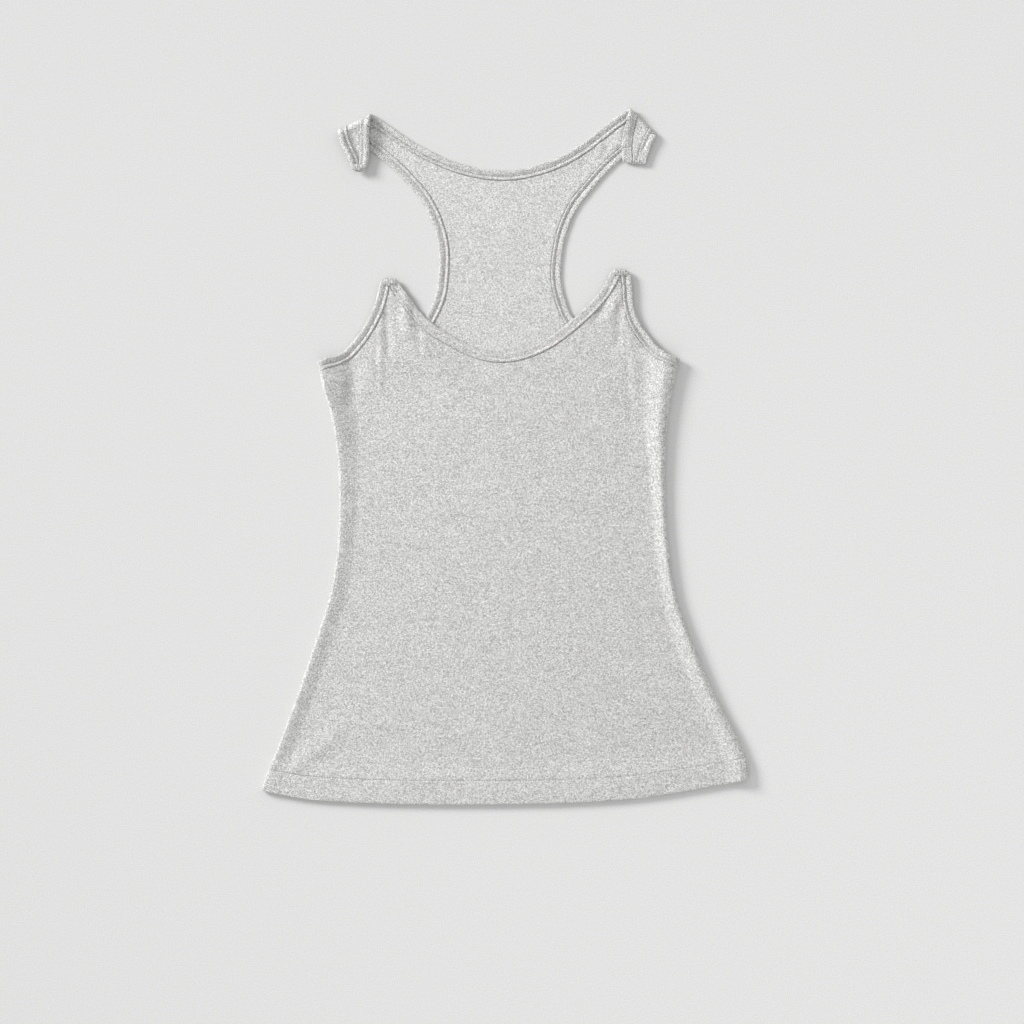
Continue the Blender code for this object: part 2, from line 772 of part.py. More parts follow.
def armhole_edge(side, on_front, arc_limit):
    """The armhole's line on one panel, from the seam on, as (u, height)."""
    line = at_run(side.armhole, armhole_runs(side))
    strap = line[:, 1] > STRAP_FROM
    if on_front:
        line = line[(line[:, 0] > arc_limit + CUT_ROOM) & ~strap][::-1]
        u = side.front_u(line[:, 0], line[:, 1])
    else:
        line = line[(line[:, 0] < arc_limit - CUT_ROOM) | strap]
        u = side.back_u(line[:, 0], line[:, 1])
    return np.stack([side.sign * u, line[:, 1]], axis=1)


def trimmed(line, rising, limit):
    """A line cut where the value that rises along it reaches the limit."""
    first = np.argmax(rising >= limit)
    share = (limit - rising[first - 1]) / (rising[first] - rising[first - 1])
    end = line[first - 1] + share * (line[first] - line[first - 1])
    keep = rising < limit - CUT_ROOM
    keep[first:] = False
    return np.vstack([line[keep], end])


def tip_of(side, line):
    """A front edge that rises to its tip, cut where the panel ends."""
    cut = FRONT_CUT_LEFT if side is LEFT else FRONT_CUT_RIGHT
    return trimmed(line, line[:, 1], cut)


def strap_of(side, line):
    """A back edge that runs out along the strap, cut where the panel ends."""
    cut = FLAP_CUT_LEFT if side is LEFT else FLAP_CUT_RIGHT
    return trimmed(line, side.past_crease(np.abs(line[:, 0]), line[:, 1]), cut)


def halves(line):
    """The left and the right half of a neck line, both from the middle outwards."""
    low = np.argmin(line[:, 1])
    return line[: low + 1][::-1], line[low + 1 :]


def outline_of(on_front):
    """A panel's edge, anticlockwise from the left end of the hem."""
    if on_front:
        neck = at_run(FRONT_NECK_LINE, stations(FRONT_NECK_LINE, front_neck_spacing))
        end_of = tip_of
    else:
        neck = at_run(BACK_NECK_LINE, back_neck_runs())
        end_of = strap_of
    seams, arms, necks = [], [], []
    for side, half in zip(SIDES, halves(neck)):
        seam, arc = seam_points(side, on_front)
        seams.append(seam)
        arms.append(end_of(side, armhole_edge(side, on_front, arc)))
        necks.append(end_of(side, half))
    inner = grid_points(BODY_GRID, (0.0,), 1.0)[0]
    hem = from_even(inner, front_edge_u if on_front else back_edge_u)
    left, right = roll_row(LEFT, 0.0, on_front), roll_row(RIGHT, 0.0, on_front)
    return np.vstack(
        [
            seams[0][:1], left, hem, right[::-1],
            seams[1], arms[1], necks[1][::-1], necks[0], arms[0][::-1], seams[0][:0:-1],
        ]
    )


def inner_points(on_front, outline):
    """Points inside a panel: its folds first, then the rolls, then an even grid."""
    edge_u = front_edge_u if on_front else back_edge_u
    fold, fold_room = fold_points(SKIRT_FOLDS if on_front else BACK_FOLDS)
    points, rooms = [fold], [fold_room]
    if on_front:
        for low_x, high_x, low, high, pitch in FOLD_ZONES:
            columns, rows = np.arange(low_x, high_x, pitch), np.arange(low, high, ZONE_PITCH)
            zone, room = grid_points(columns, rows, pitch)
            points.append(zone)
            rooms.append(room)
    for side in SIDES:
        for row in ROWS[1:]:
            roll = roll_row(side, float(row), on_front)
            points.append(roll)
            rooms.append(np.full(len(roll), ROLL_ROOM))
    if not on_front:
        for side in SIDES:
            strap, room = strap_points(side)
            points.append(strap)
            rooms.append(room)
    body, body_room = grid_points(BODY_GRID, ROWS[1:], BODY_ROOM)
    chest, chest_room = grid_points(
        np.arange(-PANEL_WIDTH, PANEL_WIDTH, CHEST_PITCH),
        np.arange(ROW_TOP, LENGTH, CHEST_PITCH),
        CHEST_PITCH,
    )
    points.append(from_even(np.vstack([body, chest]), edge_u))
    rooms.extend([body_room, chest_room])
    points, rooms = np.vstack(points), np.concatenate(rooms)
    return spread(points, rooms, outline)


def strap_points(side):
    """Points across a strap at each step of its bend and along its flap."""
    bend = np.pi * side.radius
    steps = np.append(np.linspace(0.0, bend, BEND_STEPS + 1), bend + np.array(FLAP_STEPS))
    points = []
    for past in steps:
        for across in np.arange(0.0, STRAP_REACH, STRAP_PITCH):
            out = side.crease + past * side.out + across * side.lay_way
            points.append((side.sign * out[0], out[1]))
    return np.array(points), np.full(len(points), BEND_ROOM)


def add_object(name, points, faces, color):
    """One closed solid, with its faces turned out."""
    mesh = bpy.data.meshes.new(name)
    shift = np.array([0.0, -LENGTH / 2, 0.0])
    mesh.from_pydata(((points + shift) * METRES).tolist(), [], faces)
    body = bmesh.new()
    body.from_mesh(mesh)
    if body.calc_volume(signed=True) < 0:
        bmesh.ops.reverse_faces(body, faces=body.faces)
    bmesh.ops.triangulate(body, faces=body.faces)
    body.to_mesh(mesh)
    body.free()
    mesh.shade_smooth()
    mesh.set_sharp_from_angle(angle=SHARP)
    material = bpy.data.materials.new(name + "_jersey")
    material.use_nodes = True
    shader = material.node_tree.nodes["Principled BSDF"]
    shader.inputs["Base Color"].default_value = color
    shader.inputs["Roughness"].default_value = ROUGHNESS
    shader.inputs["Metallic"].default_value = 0.0
    mesh.materials.append(material)
    made = bpy.data.objects.new(name, mesh)
    bpy.context.scene.collection.objects.link(made)
    return made


def add_panel(name, on_front):
    """A panel: a wall of cloth on both sides of its middle surface."""
    place = front_point if on_front else back_point
    outline = outline_of(on_front)
    flat = np.vstack([outline, inner_points(on_front, outline)])
    chart = even_out(flat, front_edge_u if on_front else back_edge_u)
    ring = len(outline)
    edges = [(k, (k + 1) % ring) for k in range(ring)]
    made = delaunay_2d_cdt([Vector(point) for point in chart], edges, [], 1, 1e-7)
    flat = np.array([flat[origin[0]] for origin in made[3]])
    triangles = [tuple(face) for face in made[2]]
    half = facing(place, flat) * wall(flat[:, 0], flat[:, 1])[:, None] / 2
    middle = place(flat)
    count = len(flat)
    used = {(a, b) for face in triangles for a, b in zip(face, face[1:] + face[:1])}
    faces = triangles + [tuple(k + count for k in face[::-1]) for face in triangles]
    faces += [(b, a, a + count, b + count) for a, b in used if (b, a) not in used]
    return add_object(name, np.vstack([middle + half, middle - half]), faces, HEATHER)


def add_binding(name, line, runs, place, outward, ends):
    """A binding swept along a panel's edge, on the same surface as the panel."""
    total = along(line)[-1]
    first, last = (np.array(END_STEPS) * end[0] for end in ends)
    middle_runs = runs[(runs > first[-1] + END_ROOM) & (runs < total - last[-1] - END_ROOM)]
    runs = np.concatenate([first, middle_runs, (total - last)[::-1]])
    path = at_run(line, runs)
    heading = at_run(line, runs + 0.5) - at_run(line, runs - 0.5)
    across, up = slopes_of(place, path)
    e = (across * across).sum(1)
    f = (across * up).sum(1)
    g = (up * up).sum(1)
    off = np.stack(
        [-(f * heading[:, 0] + g * heading[:, 1]), e * heading[:, 0] + f * heading[:, 1]], axis=1
    )
    length = np.linalg.norm(across * off[:, :1] + up * off[:, 1:], axis=1)
    off *= outward / length[:, None]
    starting = runs < total / 2
    from_end = np.where(starting, runs, total - runs)
    rounding, core, loss = (np.where(starting, a, b) for a, b in zip(*ends))
    size = np.sqrt(1.0 - (1.0 - np.clip(from_end / rounding, 0.0, 1.0)) ** 2)
    width = 1.0 - loss * (1.0 - ramp(from_end / NARROWING_RUN))
    upper = list(BINDING_SECTION)
    lower = [(out, -rise) for out, rise in BINDING_SECTION[-2::-1]]
    rings = []
    for out, rise in upper + lower:
        reach = GAP + (core - GAP + (out - core) * size) * width
        spot = path + off * reach[:, None]
        rings.append(place(spot) + facing(place, spot) * (rise * size)[:, None])
    rings = np.stack(rings, axis=1)
    count, sides = rings.shape[:2]
    points = np.vstack([rings.reshape(-1, 3), rings[0].mean(0), rings[-1].mean(0)])
    faces = []
    for k in range(count - 1):
        for j in range(sides):
            n = (j + 1) % sides
            faces.append((k * sides + j, k * sides + n, (k + 1) * sides + n, (k + 1) * sides + j))
    start, close = count * sides, count * sides + 1
    for j in range(sides):
        n = (j + 1) % sides
        faces.append((start, n, j))
        faces.append((close, (count - 1) * sides + j, (count - 1) * sides + n))
    return add_object(name, points, faces, BINDING_HEATHER)


def armhole_point(side):
    """The placing of (arc, height) on one side."""
    return lambda points: side.place(points[:, 0], points[:, 1])


def main():
    for old in list(bpy.data.objects):
        bpy.data.objects.remove(old, do_unlink=True)
    add_panel("front_panel", True)
    add_panel("back_panel", False)
    neck_runs = stations(FRONT_NECK_LINE, front_neck_spacing)
    tips, flaps = (FRONT_TIP_END, FRONT_TIP_END), (LEFT_FLAP_END, RIGHT_FLAP_END)
    add_binding("front_neck_binding", FRONT_NECK_LINE, neck_runs, front_point, 1.0, tips)
    add_binding("back_neck_binding", BACK_NECK_LINE, back_neck_runs(), back_point, 1.0, flaps)
    names = ("armhole_binding_left", "armhole_binding_right")
    for side, name, flap in zip(SIDES, names, flaps):
        ends = (FRONT_TIP_END, flap)
        add_binding(name, side.armhole, armhole_runs(side), armhole_point(side), -1.0, ends)


main()
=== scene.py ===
"""Dress for the racerback tank top: fine cloth, sewn bindings, stitches and melange jersey.

Lengths are in millimetres until a mesh is made. Heights run up the garment from the lowest point of
the hem. A place on the cloth is (u, height), where u is the distance from the centre line and runs
on along the arc where the cloth rolls round a side, or (arc, height), where arc is measured round
the side from its outermost line, positive over the front and negative over the back.
"""

import json
import math

import bpy
import numpy as np
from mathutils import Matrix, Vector
from mathutils.geometry import delaunay_2d_cdt
from mathutils.kdtree import KDTree

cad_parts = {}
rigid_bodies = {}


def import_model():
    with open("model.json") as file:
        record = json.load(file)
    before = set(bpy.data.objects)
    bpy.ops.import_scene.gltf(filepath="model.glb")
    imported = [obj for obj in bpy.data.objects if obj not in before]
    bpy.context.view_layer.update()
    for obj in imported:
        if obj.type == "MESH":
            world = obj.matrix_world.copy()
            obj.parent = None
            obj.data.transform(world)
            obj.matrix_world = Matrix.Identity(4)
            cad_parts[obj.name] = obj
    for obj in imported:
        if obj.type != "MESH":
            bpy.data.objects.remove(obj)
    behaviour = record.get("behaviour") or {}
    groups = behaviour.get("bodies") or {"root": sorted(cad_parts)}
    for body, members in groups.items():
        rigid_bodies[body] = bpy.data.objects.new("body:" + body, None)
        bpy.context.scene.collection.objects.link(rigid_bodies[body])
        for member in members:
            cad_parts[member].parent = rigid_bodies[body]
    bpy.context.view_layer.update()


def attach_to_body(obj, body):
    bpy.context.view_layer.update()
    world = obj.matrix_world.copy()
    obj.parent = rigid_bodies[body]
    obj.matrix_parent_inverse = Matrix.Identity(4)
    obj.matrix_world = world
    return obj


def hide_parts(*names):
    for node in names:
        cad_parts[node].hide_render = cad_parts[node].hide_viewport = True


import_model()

METRES = 0.001
HALF_PI = np.pi / 2

LENGTH = 694.9  # hem to the folded strap ends
WALL = 1.0  # jersey with its loft
HEM_WALL = 1.7  # jersey turned up and stitched
HEM_DEPTH = 24.0
HEM_STEP = 3.0  # height over which the hem thins to the single cloth
HEM_EASE = 12.0  # height over which the front settles above the hem
HEM_LIFT = 1.5  # how far the front hem stands off the back hem
HEM_LIFT_RUN = 45.0
GAP = 0.3  # between layers that rest on each other, and at seams
SEAM_HALF_GAP = 0.15
ROW_TOP = 430.0  # where the rows that follow the hem have become level
STRAP_FROM = 580.0  # above this height there is only the back panel, with no roll

BINDING_HALF = 1.1  # half the thickness of a binding
BINDING_RISE = BINDING_HALF - WALL / 2
BINDING_EASE = 9.0  # over what width the panel comes down from a binding to its own level
BINDING_EASE_FROM = -0.5
# a binding's end: length of its rounding, the line it rounds to, share of its width it loses
FRONT_TIP_END = (8.5, 0.5, 0.0)
LEFT_FLAP_END = (6.5, 0.5, 0.3)
RIGHT_FLAP_END = (3.0, 4.8, 0.0)
NARROWING_RUN = 16.0

UNDER_INSET = 3.0  # radius of the roll's under side
CHEST_LIFT = 1.9  # front panel over the edges of the back armholes
CHEST_RUN = 45.0
TIP_LIFT = 1.0
TIP_RUN = 45.0
FLAP_DROOP = 4.0
FLAP_RUN = 45.0
FLAP_TILT = 4.2  # how far the right flap comes down towards the far end of its fold
FLAP_TILT_RUN = 34.0
# how far the flap sinks between its bindings, from where and over what width: left, right
FLAP_VALLEYS = ((3.8, -6.0, 10.0), (5.0, -5.0, 10.0))
FLAP_CURLS = (3.0, 1.3)  # how far the flaps' outer edges curl down: left, right
FLAP_CURL_FROM = 4.0
FLAP_CURL_RUN = 7.0
FLAP_REST = 3.3  # lowest that the middle of its cloth lies
FLAP_REST_EASE = 1.2
FLAP_SETTLE = 3.0  # bend radii over which a turned strap takes the flap's form
FOLD_FADE = 6.0  # how soon a soft fold is at its full rise between its ends
LEFT_WAIST = 0.72  # height of the outermost line as a share of the crest's
RIGHT_WAIST = 0.5
FALL_START = 0.12  # shares of a slope's run where it is at its steepest and where it eases out
FALL_EASE = 0.66
FALL_STEPS = 201

# height, side edge, crest inset, crest height, slope run, seam inset
LEFT_SIDE = (
    (14, 243.0, 4.5, 5.4, 18, 3.0),
    (28, 238.4, 3.9, 5.2, 17, 3.0),
    (60, 225.9, 3.4, 5.0, 16, 2.5),
    (100, 211.0, 3.2, 5.0, 16, 2.5),
    (157, 191.3, 3.2, 5.0, 16, 2.5),
    (209, 175.3, 3.2, 5.0, 16, 2.5),
    (252, 168.2, 3.2, 5.0, 16, 2.5),
    (300, 166.0, 3.2, 5.1, 17, 2.5),
    (343, 167.2, 3.3, 5.6, 19, 2.5),
    (388, 174.2, 3.4, 8.4, 26, 2.8),
    (420, 182.9, 3.2, 10.9, 31, 3.0),
    (441, 187.0, 3.2, 11.0, 31, 3.0),
)
RIGHT_SIDE = (
    (24, 242.8, 7.5, 8.3, 18, 6.5),
    (41, 241.2, 7.5, 8.3, 18, 6.5),
    (60, 234.2, 7.0, 8.5, 18, 6.0),
    (100, 213.2, 6.0, 8.6, 17, 5.0),
    (157, 188.0, 4.0, 8.6, 16, 1.5),
    (209, 169.7, 3.2, 8.0, 12.5, 0.0),
    (252, 163.1, 3.0, 7.6, 12.0, 0.0),
    (300, 159.2, 3.2, 7.6, 12.0, 0.0),
    (343, 159.4, 5.0, 8.3, 14.0, 0.0),
    (388, 162.2, 8.0, 9.8, 19, 3.0),
    (420, 167.5, 10.5, 10.7, 23, 7.0),
    (443, 173.0, 12.0, 10.9, 24, 8.0),
)
# x, height
HEM = (
    (-243, 14.0), (-207, 6.5), (-157, 2.5), (-80, 0.2), (0, 0.3), (80, 2.5), (134, 6.5),
    (184, 14.0), (225, 21.5), (243, 25.5),
)
# x, height along the front neck edge, with the bindings' run past the tips at both ends
FRONT_NECK = (
    (-115.5, 525.0), (-114.2, 517.0), (-105, 503), (-95.7, 490), (-77.5, 471.5), (-55, 458),
    (-33, 447), (-13, 442.2), (1.2, 441.9), (24, 446.8), (46, 456.9), (69, 473.8), (92, 495.2),
    (105.5, 512.0), (112.6, 526.0), (114.5, 534.0),
)
# out from the centre line, height
FRONT_ARMHOLE_LEFT = (
    (177, 436.2), (167.2, 439.0), (155.7, 445.1), (145.5, 455.5), (134.5, 470.5), (123.5, 492.5),
    (118.0, 511.0), (116.1, 525.0),
)
FRONT_ARMHOLE_RIGHT = (
    (165, 438.5), (155.5, 443.2), (144.0, 451.5), (137.0, 460.5), (129.5, 470.5), (122.5, 484.5),
    (118.2, 502.5), (117.2, 518.0), (115.1, 534.0),
)
BACK_ARMHOLE_LEFT = (
    (170, 434.5), (155.5, 437.5), (125.5, 442), (99.5, 451.5), (81.5, 466.5), (70, 485),
    (62, 503), (57.5, 533.5), (57.5, 554.5), (64.5, 583.5), (76.5, 607.5), (93.5, 628),
    (116.5, 649.5), (135.5, 663.5),
)
BACK_ARMHOLE_RIGHT = (
    (145, 438.5), (118, 442.5), (92, 451), (72, 465), (58.5, 483.5), (51.5, 500.5), (47.5, 515.5),
    (46.3, 533.5), (48.5, 554.5), (54.5, 578.5), (65.5, 601.5), (81.5, 621.5), (96.5, 638.5),
    (114.5, 654.5),
)
# x, height along the back neck edge, between the strap folds
BACK_NECK = (
    (-127, 674.5), (-113.5, 665), (-87.5, 648.5), (-67.5, 638.5), (-42.5, 629.5), (-16.5, 624.5),
    (9, 624.3), (32.5, 629), (58.5, 638.5), (83.3, 653.5), (102.5, 668.5), (115.0, 678.0),
)
# out from the centre line, height of the folded flap's panel edges, from the fold to the end
FLAP_ARM_LEFT = (
    (159, 674), (156.2, 661), (152.3, 653), (148.6, 645.5), (147.0, 638), (146.6, 630.5),
)
FLAP_NECK_LEFT = ((144.8, 678), (144.5, 664), (144.6, 650), (145.6, 638), (146.1, 631))
FLAP_ARM_RIGHT = ((140.8, 668), (136.3, 658.5), (132.8, 647), (130.7, 640))
FLAP_NECK_RIGHT = ((129.5, 682), (127.4, 673), (125.6, 660), (125.4, 649), (126.6, 641))
FOLD_HEIGHT_LEFT = 432.0  # armhole edge where it passes round the side
FOLD_HEIGHT_RIGHT = 435.0
# fold's seen edge: apex and far corner, out from the centre line, height
CREASE_LEFT = ((132.5, 689.5), (167.5, 672.5))
CREASE_RIGHT = ((123.3, 695.8), (149.5, 670.0))
CREASE_RADIUS_LEFT = 4.8
CREASE_RADIUS_RIGHT = 3.5
FRONT_CUT_LEFT = 517.0  # height where the front panel ends between its bindings
FRONT_CUT_RIGHT = 526.5
FLAP_CUT_LEFT = 44.0  # distance past the crease where the back panel ends between its bindings
FLAP_CUT_RIGHT = 43.0
# start x, start height, end x, end height, half width, rise
CHEST_FOLDS = (
    (-125.5, 480, -124.5, 405, 3.5, 0.8), (-130.5, 466, -128.5, 420, 3.5, -0.7),
    (-119.0, 500, -116.5, 440, 6, -1.6), (-100.0, 517, -98, 462, 9, 1.8),
    (-87.5, 482, -85.5, 445, 5, -1.0), (-81.0, 470, -79.5, 446, 3, 0.5),
    (-73.5, 455, -73.5, 438, 3, -0.6), (-108, 441, -70, 441, 2.6, -0.3),
    (-62.5, 459, -61, 445, 6, -0.5), (-150, 446, -158, 390, 14, -1.8),
    (107, 516, 86, 474, 6, -1.4), (111, 505, 101, 480, 5, 1.0), (115.5, 503, 111, 452, 6, -1.4),
    (124, 490, 129, 405, 10, 0.6), (121.5, 458, 126, 372, 6, -0.6),
)
SKIRT_FOLDS = ((-222, 28, -160, 76, 15, 1.7),)
BACK_FOLDS = ((88, 640, 98, 664, 6, 1.1), (106, 650, 117, 676, 6, 1.5))

CLOTH_PITCH = 2.1  # columns and rows of the front
BACK_PITCH = 3.6
UNDER_STEP = 2  # the inner face takes every second column and row
HEM_ROWS = (20.0, 21.2, 22.0, 22.6, 23.2, 23.8, 24.4, 25.2, 26.2)
ROLL_PITCH = 1.3
ROLL_REACH = 16.0
ROLL_OVER = 14.0  # how far the back's columns run on over the roll
PANEL_WIDTH = 200.0  # half width that the cloth's rows are evened out to
ROLL_ZONE = 45.0  # part beside each side edge that keeps its own columns
INNER_WIDTH = PANEL_WIDTH - ROLL_ZONE
EDGE_PITCH = 2.0
# beside a binding the cloth is drawn down: distance from the edge, share of the dip there
DIP_ROWS = ((0.6, 1.0), (1.1, 0.62), (1.6, 0.18), (2.4, 0.0))
DIP = 1.1
DIP_UNDER = 0.12  # share that the hidden face moves with it
DIP_CLEAR = 0.45
DIP_ROOM = 0.9
HEM_STITCH = 23.2  # height of the hem's stitches above its edge
HEM_GROOVE = 0.5
HEM_GROOVE_HALF = 0.9
HEM_ENDS = 3.0  # bare ends of the hem stitches
RIM_CREASE = 40.0  # degrees past which a rim's edge stays crisp
SEAM_CLEAR = 0.8
CUT_SPARE = 0.3
CLEAR_SHARE = 0.45  # how close to a panel's edge its inner points come, as a share of the pitch
CLOSE = 1e-7  # points nearer than this are one
# a strap's own grid past its crease: pitch, start and end past the crease and along it
STRAP_PITCH = 2.2
STRAP_PAST = (-2.0, 62.0)
STRAP_ALONG = (-4.0, 52.0)
STRAP_CLEAR = 3.0  # how far before the crease the panel's grid stops
SETTLE = 6  # rounds in which a height settles on its row
FAR_OFF = 60.0  # stands for any distance past the reach of an edge's form
CHUNK = 3000  # points measured at a time
RIM_BULGE = 0.15  # how far a cut edge and the folded hem round out
HEM_BULGE = 0.7
RIM_TURNS = (45.0, 0.0, -45.0)
RIM_CLOTH = 1.2  # how far the knit runs on over a rim
BACK_CLOTH = (0.0, 900.0)  # where the back is cut from the length of cloth

BAND_PITCH = 0.9
# out from the panel's edge, half height
BAND_SECTION = (
    (-0.45, 0.30), (-0.55, 0.80), (-0.35, 1.22), (0.1, 1.44), (0.6, 1.50), (1.1, 1.40),
    (1.6, 1.06), (2.1, 0.62), (2.6, 0.28), (3.2, 0.20), (3.8, 0.52), (4.8, 1.02), (6.0, 1.40),
    (7.2, 1.58), (8.2, 1.48), (8.9, 1.00), (9.3, 0.0),
)
FRONT_NECK_SECTION = (
    *BAND_SECTION[:7], (2.1, 0.82), (2.6, 0.62), (3.2, 0.58), (3.8, 0.62), (4.8, 0.74),
    (6.0, 0.86), (7.2, 0.90), (8.2, 0.74), (8.9, 0.42), (9.3, 0.0),
)
BAND_CALM = 0.68  # half height that the section takes where it passes round the side
BAND_CALM_RISE = 0.05  # how much more each millimetre out
CALM_FROM = 1.0
CALM_RUN = 14.0
CALM_SPAN = (-0.4, 8.5)  # from where to where out on the section
BINDING_WIDTH = 9.3
GROOVE_OUT = 3.0
GROOVE_WIDTH = 1.6
STITCH_PITCH = 2.7
HEADING_STEP = 0.5  # over which an edge's heading is taken
# where a stitch and a needle hole's dark disc of painted shade lie above the middle of the cloth
HEM_THREAD_RISE = 0.52
HEM_HOLE_SHADE_RISE = 0.26
BAND_THREAD_RISE = 0.24
BAND_HOLE_SHADE_RISE = -0.12
THREAD_SIZES = {"Pitch": 0.0027, "Length": 0.0018, "Thread": 0.00016, "Crown": 0.0002}
UNEVEN = ((0.82, 0.85, 0.85), (1.12, 1.15, 1.15))  # least and greatest size of a stitch
# dark discs along each row of stitches: painted shade inside the needle holes
HOLE_SHADE_SIZES = {"Pitch": 0.0027, "Length": 0.0006, "Thread": 0.00042, "Crown": 0.0}

# rolls across the seam at the tips and the strap ends
ROLL_OUT = 5.2  # where they cross the bindings
ROLL_SPARE = 0.6
ROLL_FLAT = 0.75
ROLL_RINGS = 19
ROLL_SIDES = 14
ROLL_SHARE = 0.99
# lumps on a roll: size, waves along it and round it, whether they differ from roll to roll
ROLL_LUMPS = ((0.13, 5, 3, 1), (0.1, 11, 2, 0))
ROLL_TURNS = 6  # of the thread wound round it
THREAD_SHARE = 0.9
THREAD_STEPS = 40
THREAD_OVER = 0.1
OVERCAST_SIZES = {"Pitch": 0.0014, "Length": 0.0016, "Thread": 0.00022, "Crown": 0.0001}

# rings of a rounded end, as shares of its length
END_STEPS = (0.02, 0.08, 0.18, 0.32, 0.5, 0.75, 1.0)

# dark and light yarns, mixed by the shares of loops, streaks, drift and fibre
LOOPS = (2400.0, 2300.0)
STREAKS = (130.0, 1150.0)
DRIFT = (30.0, 45.0)
FIBRE = (500.0, 1500.0)
MIX = (1.5, 0.15, 0.1, 0.08)
MIX_SHIFT = -0.385
CLOTH_DARK = (0.285, 0.284, 0.276)
CLOTH_LIGHT = (0.985, 0.982, 0.965)
# the back's yarns, lighter than the front's though it is the same jersey: painted light
SINGLE_DARK = (0.33, 0.329, 0.321)
SINGLE_LIGHT = (0.99, 0.987, 0.97)
# the binding's yarns, a little darker than the panel's, though it is the same jersey: painted shade
# for the binding's folds
BAND_DARK = (0.26, 0.259, 0.251)
BAND_LIGHT = (0.95, 0.947, 0.93)
KNIT_RELIEF = 0.0004
BAND_APART = 37.0  # between the places on the cloth that bindings and rolls are cut from
ROLL_APART = 29.0
JERSEY_FINISH = {
    "Roughness": 0.93,
    "Specular IOR Level": 0.22,
    "Sheen Weight": 0.12,
    "Sheen Roughness": 0.5,
}
PLAIN_GLOSS = 0.1
# roughness, dark shade, light shade, grain
THREAD_FINISH = (0.75, (0.46, 0.46, 0.447), (0.62, 0.62, 0.603), 2500.0)
# near-black finish of the needle-hole discs: painted shade
HOLE_SHADE_FINISH = (0.95, (0.10, 0.10, 0.098), (0.22, 0.22, 0.214), 1500.0)
PUCKER = 0.25
EDGE_SWAY = 0.25
EDGE_PUFF = 0.05
WAVES = ((37.0, 0.4), (17.0, 0.35), (8.3, 0.25))  # pitch and share
WAVE_SHIFTS = (2.4, 1.7)  # by seed and by order

FLOOR_HALF = 4.0
PAPER_FINISH = (0.9, (0.742, 0.742, 0.739), (0.998, 0.998, 0.994), 800.0)
FLOOR_STOPS = 6
FLOOR_REACH = 0.8  # how far out the paper is graded against the lamp's fall-off
FILL_STRENGTH = 0.672
KEY_POWER = 121.0
KEY_SIZE = 1.2
KEY_DISTANCE = 3.6
KEY_FROM = math.radians(148.0)  # round from +X to where the light comes from
KEY_HEIGHT = math.radians(25.0)
VIEW_X = 0.0065
VIEW_Y = -0.05595
VIEW_SIZE = 1.024
LENS = 100.0
SENSOR = 36.0
VIEW_END = 20.0


def ramp(t):
    t = np.clip(t, 0.0, 1.0)
    return t * t * (3.0 - 2.0 * t)


def fall(t):
    """Share of the way down from a roll's crest: steep from close by the crest, then easing out."""
    steps = np.linspace(0.0, 1.0, FALL_STEPS)
    slope = ramp(steps / FALL_START) * (1.0 - ramp((steps - FALL_EASE) / (1.0 - FALL_EASE)))
    way = np.cumsum(slope)
    return np.interp(t, steps, (way - way[0]) / (way[-1] - way[0]))


def through(knots, values, at):
    """Smooth curve through values at rising knots, held level past the ends."""
    knots = np.asarray(knots, float)
    values = np.asarray(values, float)
    at = np.clip(np.asarray(at, float), knots[0], knots[-1])
    slopes = np.gradient(values, knots, axis=0)
    low = np.clip(np.searchsorted(knots, at, side="right") - 1, 0, len(knots) - 2)
    span = knots[low + 1] - knots[low]
    t = (at - knots[low]) / span
    if values.ndim > 1:
        t = t[..., None]
        span = span[..., None]
    keep = 1.0 + t * t * (2.0 * t - 3.0)
    start = t * (t - 1.0) ** 2
    end = t * t * (t - 1.0)
    return (
        keep * values[low]
        + (1.0 - keep) * values[low + 1]
        + span * (start * slopes[low] + end * slopes[low + 1])
    )


def along(line):
    """Distance run at each point of a line."""
    return np.concatenate([[0.0], np.cumsum(np.linalg.norm(np.diff(line, axis=0), axis=1))])


def dense(points, step=1.0):
    """Smooth line through the points, in steps of about this length."""
    points = np.asarray(points, float)
    run = along(points)
    return through(run, points, np.linspace(0.0, run[-1], int(run[-1] / step) + 2))


def at_run(line, where):
    run = along(line)
    return np.stack([np.interp(where, run, line[:, k]) for k in range(2)], axis=1)


def depth(points, line, inside, below=FAR_OFF):
    """Distance from a line, positive on the side where the panel is, or FAR_OFF well below it."""
    start = line[:-1]
    step = np.diff(line, axis=0)
    found = np.full(len(points), FAR_OFF)
    near = np.arange(len(points))
    if below:
        near = np.flatnonzero(points[:, 1] > line[:, 1].min() - below)
    for first in range(0, len(near), CHUNK):
        some = near[first : first + CHUNK]
        from_start = points[some, None, :] - start[None]
        t = np.clip((from_start * step).sum(2) / (step * step).sum(1), 0.0, 1.0)
        off = from_start - t[..., None] * step
        nearest = np.argmin((off * off).sum(2), axis=1)
        gap = off[np.arange(len(some)), nearest]
        turn = step[nearest, 0] * gap[:, 1] - step[nearest, 1] * gap[:, 0]
        found[some] = inside * np.where(turn < 0, -1.0, 1.0) * np.linalg.norm(gap, axis=1)
    return found


def hem_height(x):
    hem = np.array(HEM, float)
    return through(hem[:, 0], hem[:, 1], x)


def above_hem(x, height):
    low = hem_height(x)
    return (height - low) / (1.0 - low / ROW_TOP)


def row_height(x, row):
    """Height at which a row passes here."""
    return hem_height(x) * (1.0 - row / ROW_TOP) + row


def wall(x, height):
    """Thickness of a panel."""
    up = above_hem(x, height)
    return WALL + (HEM_WALL - WALL) * (1.0 - ramp((up - HEM_DEPTH + HEM_STEP / 2) / HEM_STEP))


